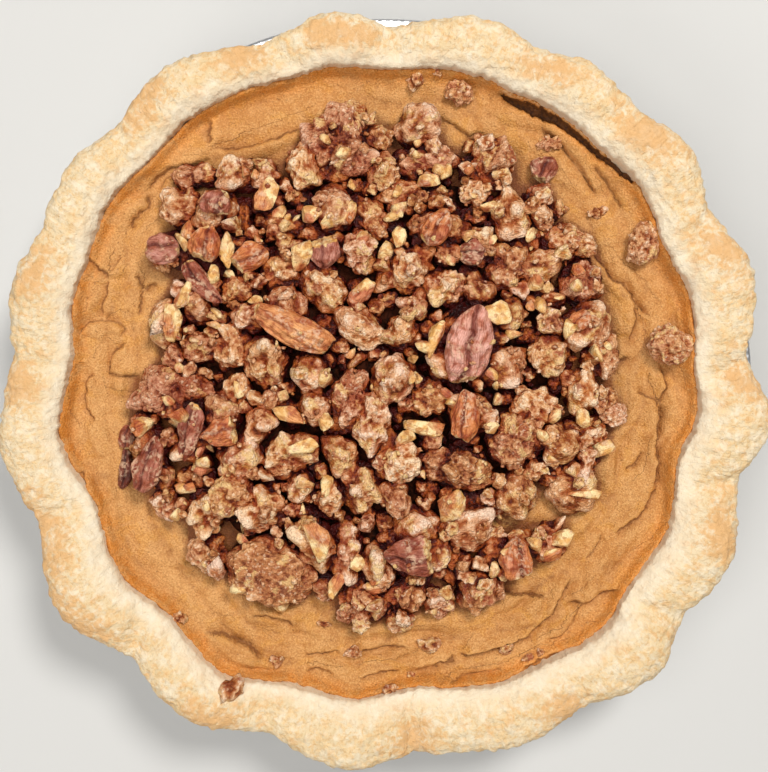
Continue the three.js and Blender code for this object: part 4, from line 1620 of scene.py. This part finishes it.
def stray_pieces(draw, ground, finishes):
    """The strays that stand for nodes of their own: each node's piece and its slot."""
    pieces = {}
    for name, (x, y, length, width, turn) in STRAYS.items():
        size = (length, width, NUT_HEIGHT * width)
        slot = "pecan" if name == "stray_pecan" else "crumble"
        if slot == "pecan":
            shape = pecan_piece(draw, size, 5, SKIN_HUES["red"], (0.1, 0.2))
        else:
            shape = sugared_lump(draw, size, 5, 0.4, 0.45, 3.0, 0.42)
        shape = ground.lay(turned(shape, turn), as_seen(x, y, FILLING_LEVEL + 3), STRAY_CLEAR)
        pieces[name] = piece_from_shapes(name + "_crumb", [shape], finishes[slot]), slot
    return pieces


def loose_crumbs(draw, ground):
    """The small crumbs on the filling and the rim."""
    shapes = []
    for x, y, length, width, turn in CRUMBS:
        shape = sugared_lump(draw, (length, width, CRUMB_HEIGHT * width), 3, 0.3, 0.45)
        place = as_seen(x, y, FILLING_LEVEL + 2)
        shapes.append(ground.lay(turned(shape, turn), place, CRUMB_CLEAR))
    return shapes


# The stage


def add_camera():
    data = bpy.data.cameras.new("camera")
    distance = math.hypot(CAMERA_NORTH, CAMERA_HEIGHT - EDGE_LEVEL)
    data.sensor_width = SENSOR
    data.lens = SENSOR * RIM_RADIUS_SEEN * distance / (TIN_RIM_RADIUS * PICTURE_HEIGHT)
    camera = linked("camera", data)
    camera.location = (0, CAMERA_NORTH * MM, CAMERA_HEIGHT * MM)
    camera.rotation_euler = (-math.atan2(CAMERA_NORTH - AIM_NORTH, CAMERA_HEIGHT - TIN_DEPTH), 0, 0)
    bpy.context.scene.camera = camera


def add_area_light(name, place, size, power, colour):
    data = bpy.data.lights.new(name, "AREA")
    data.shape = "DISK"
    data.size = size
    data.energy = power
    data.color = colour
    light = linked(name, data)
    light.location = place
    light.rotation_euler = light.location.to_track_quat("Z", "Y").to_euler()


def add_lights():
    """Three lights, with their places and sizes in metres and their powers in watts, and a pale room."""
    add_area_light("window", (0.5, 0.85, 1.5), 0.5, 23, (1.0, 0.985, 0.96))
    add_area_light("fill", (-0.8, -0.8, 1.1), 1.0, 6.5, (1.0, 0.99, 0.97))
    add_area_light("ceiling", (-0.4, 0.1, 2.0), 1.7, 17, (1.0, 1.0, 1.0))
    world = bpy.data.worlds.new("room")
    world.use_nodes = True
    background = world.node_tree.nodes["Background"]
    background.inputs["Color"].default_value = (1.0, 0.97, 0.93, 1)
    background.inputs["Strength"].default_value = 0.2
    bpy.context.scene.world = world


def add_floor():
    sheet = bmesh.new()
    bmesh.ops.create_grid(sheet, x_segments=1, y_segments=1, size=3)
    mesh = bpy.data.meshes.new("floor")
    sheet.to_mesh(mesh)
    sheet.free()
    floor = placed("floor", mesh, stage_finish())


def stand_for(piece, slot, *nodes):
    """Ties a piece to the body and hides the nodes that it stands for; slot is not used."""
    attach(piece, "root")
    if nodes:
        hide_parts(*nodes)


def build_pie():
    draw = np.random.default_rng(SEED)
    finishes = {"crumble": crumble_finish(), "pecan": pecan_finish()}
    ground = Ground()
    tin = foil_tin(foil_finish())
    pastry = crust(pastry_finish())
    custard = filling(filling_finish())
    core = crumble_core(core_finish())
    for piece in (pastry, custard, core):
        ground.cover(points_of(piece))
    large, small = seen_lumps(draw, ground)
    fillers = filler_lumps(draw, ground) + gap_crumbs(draw, ground)
    pecans = seen_pecans(draw, ground)
    nuts = seen_nuts(draw, ground)
    strays = stray_pieces(draw, ground, finishes)
    crumbs = loose_crumbs(draw, ground)
    nuts += chopped_nuts(draw, ground)
    grains = sugar_grains(draw, ground)
    # Painted shade in the heap's gaps and painted light on its high points; on pecans and nuts the shade
    # goes into the groove mark.
    paint_heap_shading(ground, large + small + fillers + grains, "deep", -1.2, 3.8)
    paint_heap_shading(ground, pecans + nuts, "groove", 1.0, 7.0)
    # Painted shadow on the filling about the heap.
    paint_filling_shadow(custard, ground)
    stand_for(tin, "foil", "foil_tin")
    stand_for(pastry, "pastry", "pastry_crust")
    stand_for(custard, "filling", "sweet_potato_filling")
    stand_for(core, "crumble", "pecan_crumble_heap")
    half = len(small) // 2
    share = len(fillers) // 2
    heap = [
        ("large_lumps", large, "crumble"),
        ("middling_lumps", small[:half], "crumble"),
        ("small_lumps", small[half:], "crumble"),
        ("filler_lumps", fillers[:share], "crumble"),
        ("crumbs", fillers[share:] + crumbs, "crumble"),
        ("pecans", pecans, "pecan"),
        ("chopped_nuts", nuts, "pecan"),
        ("sugar_grains", grains, "crumble"),
    ]
    for name, shapes, slot in heap:
        stand_for(piece_from_shapes(name, shapes, finishes[slot]), slot)
    for node, (piece, slot) in strays.items():
        stand_for(piece, slot, node)


build_pie()
add_camera()
add_lights()
add_floor()
bpy.context.scene.view_settings.view_transform = "Standard"
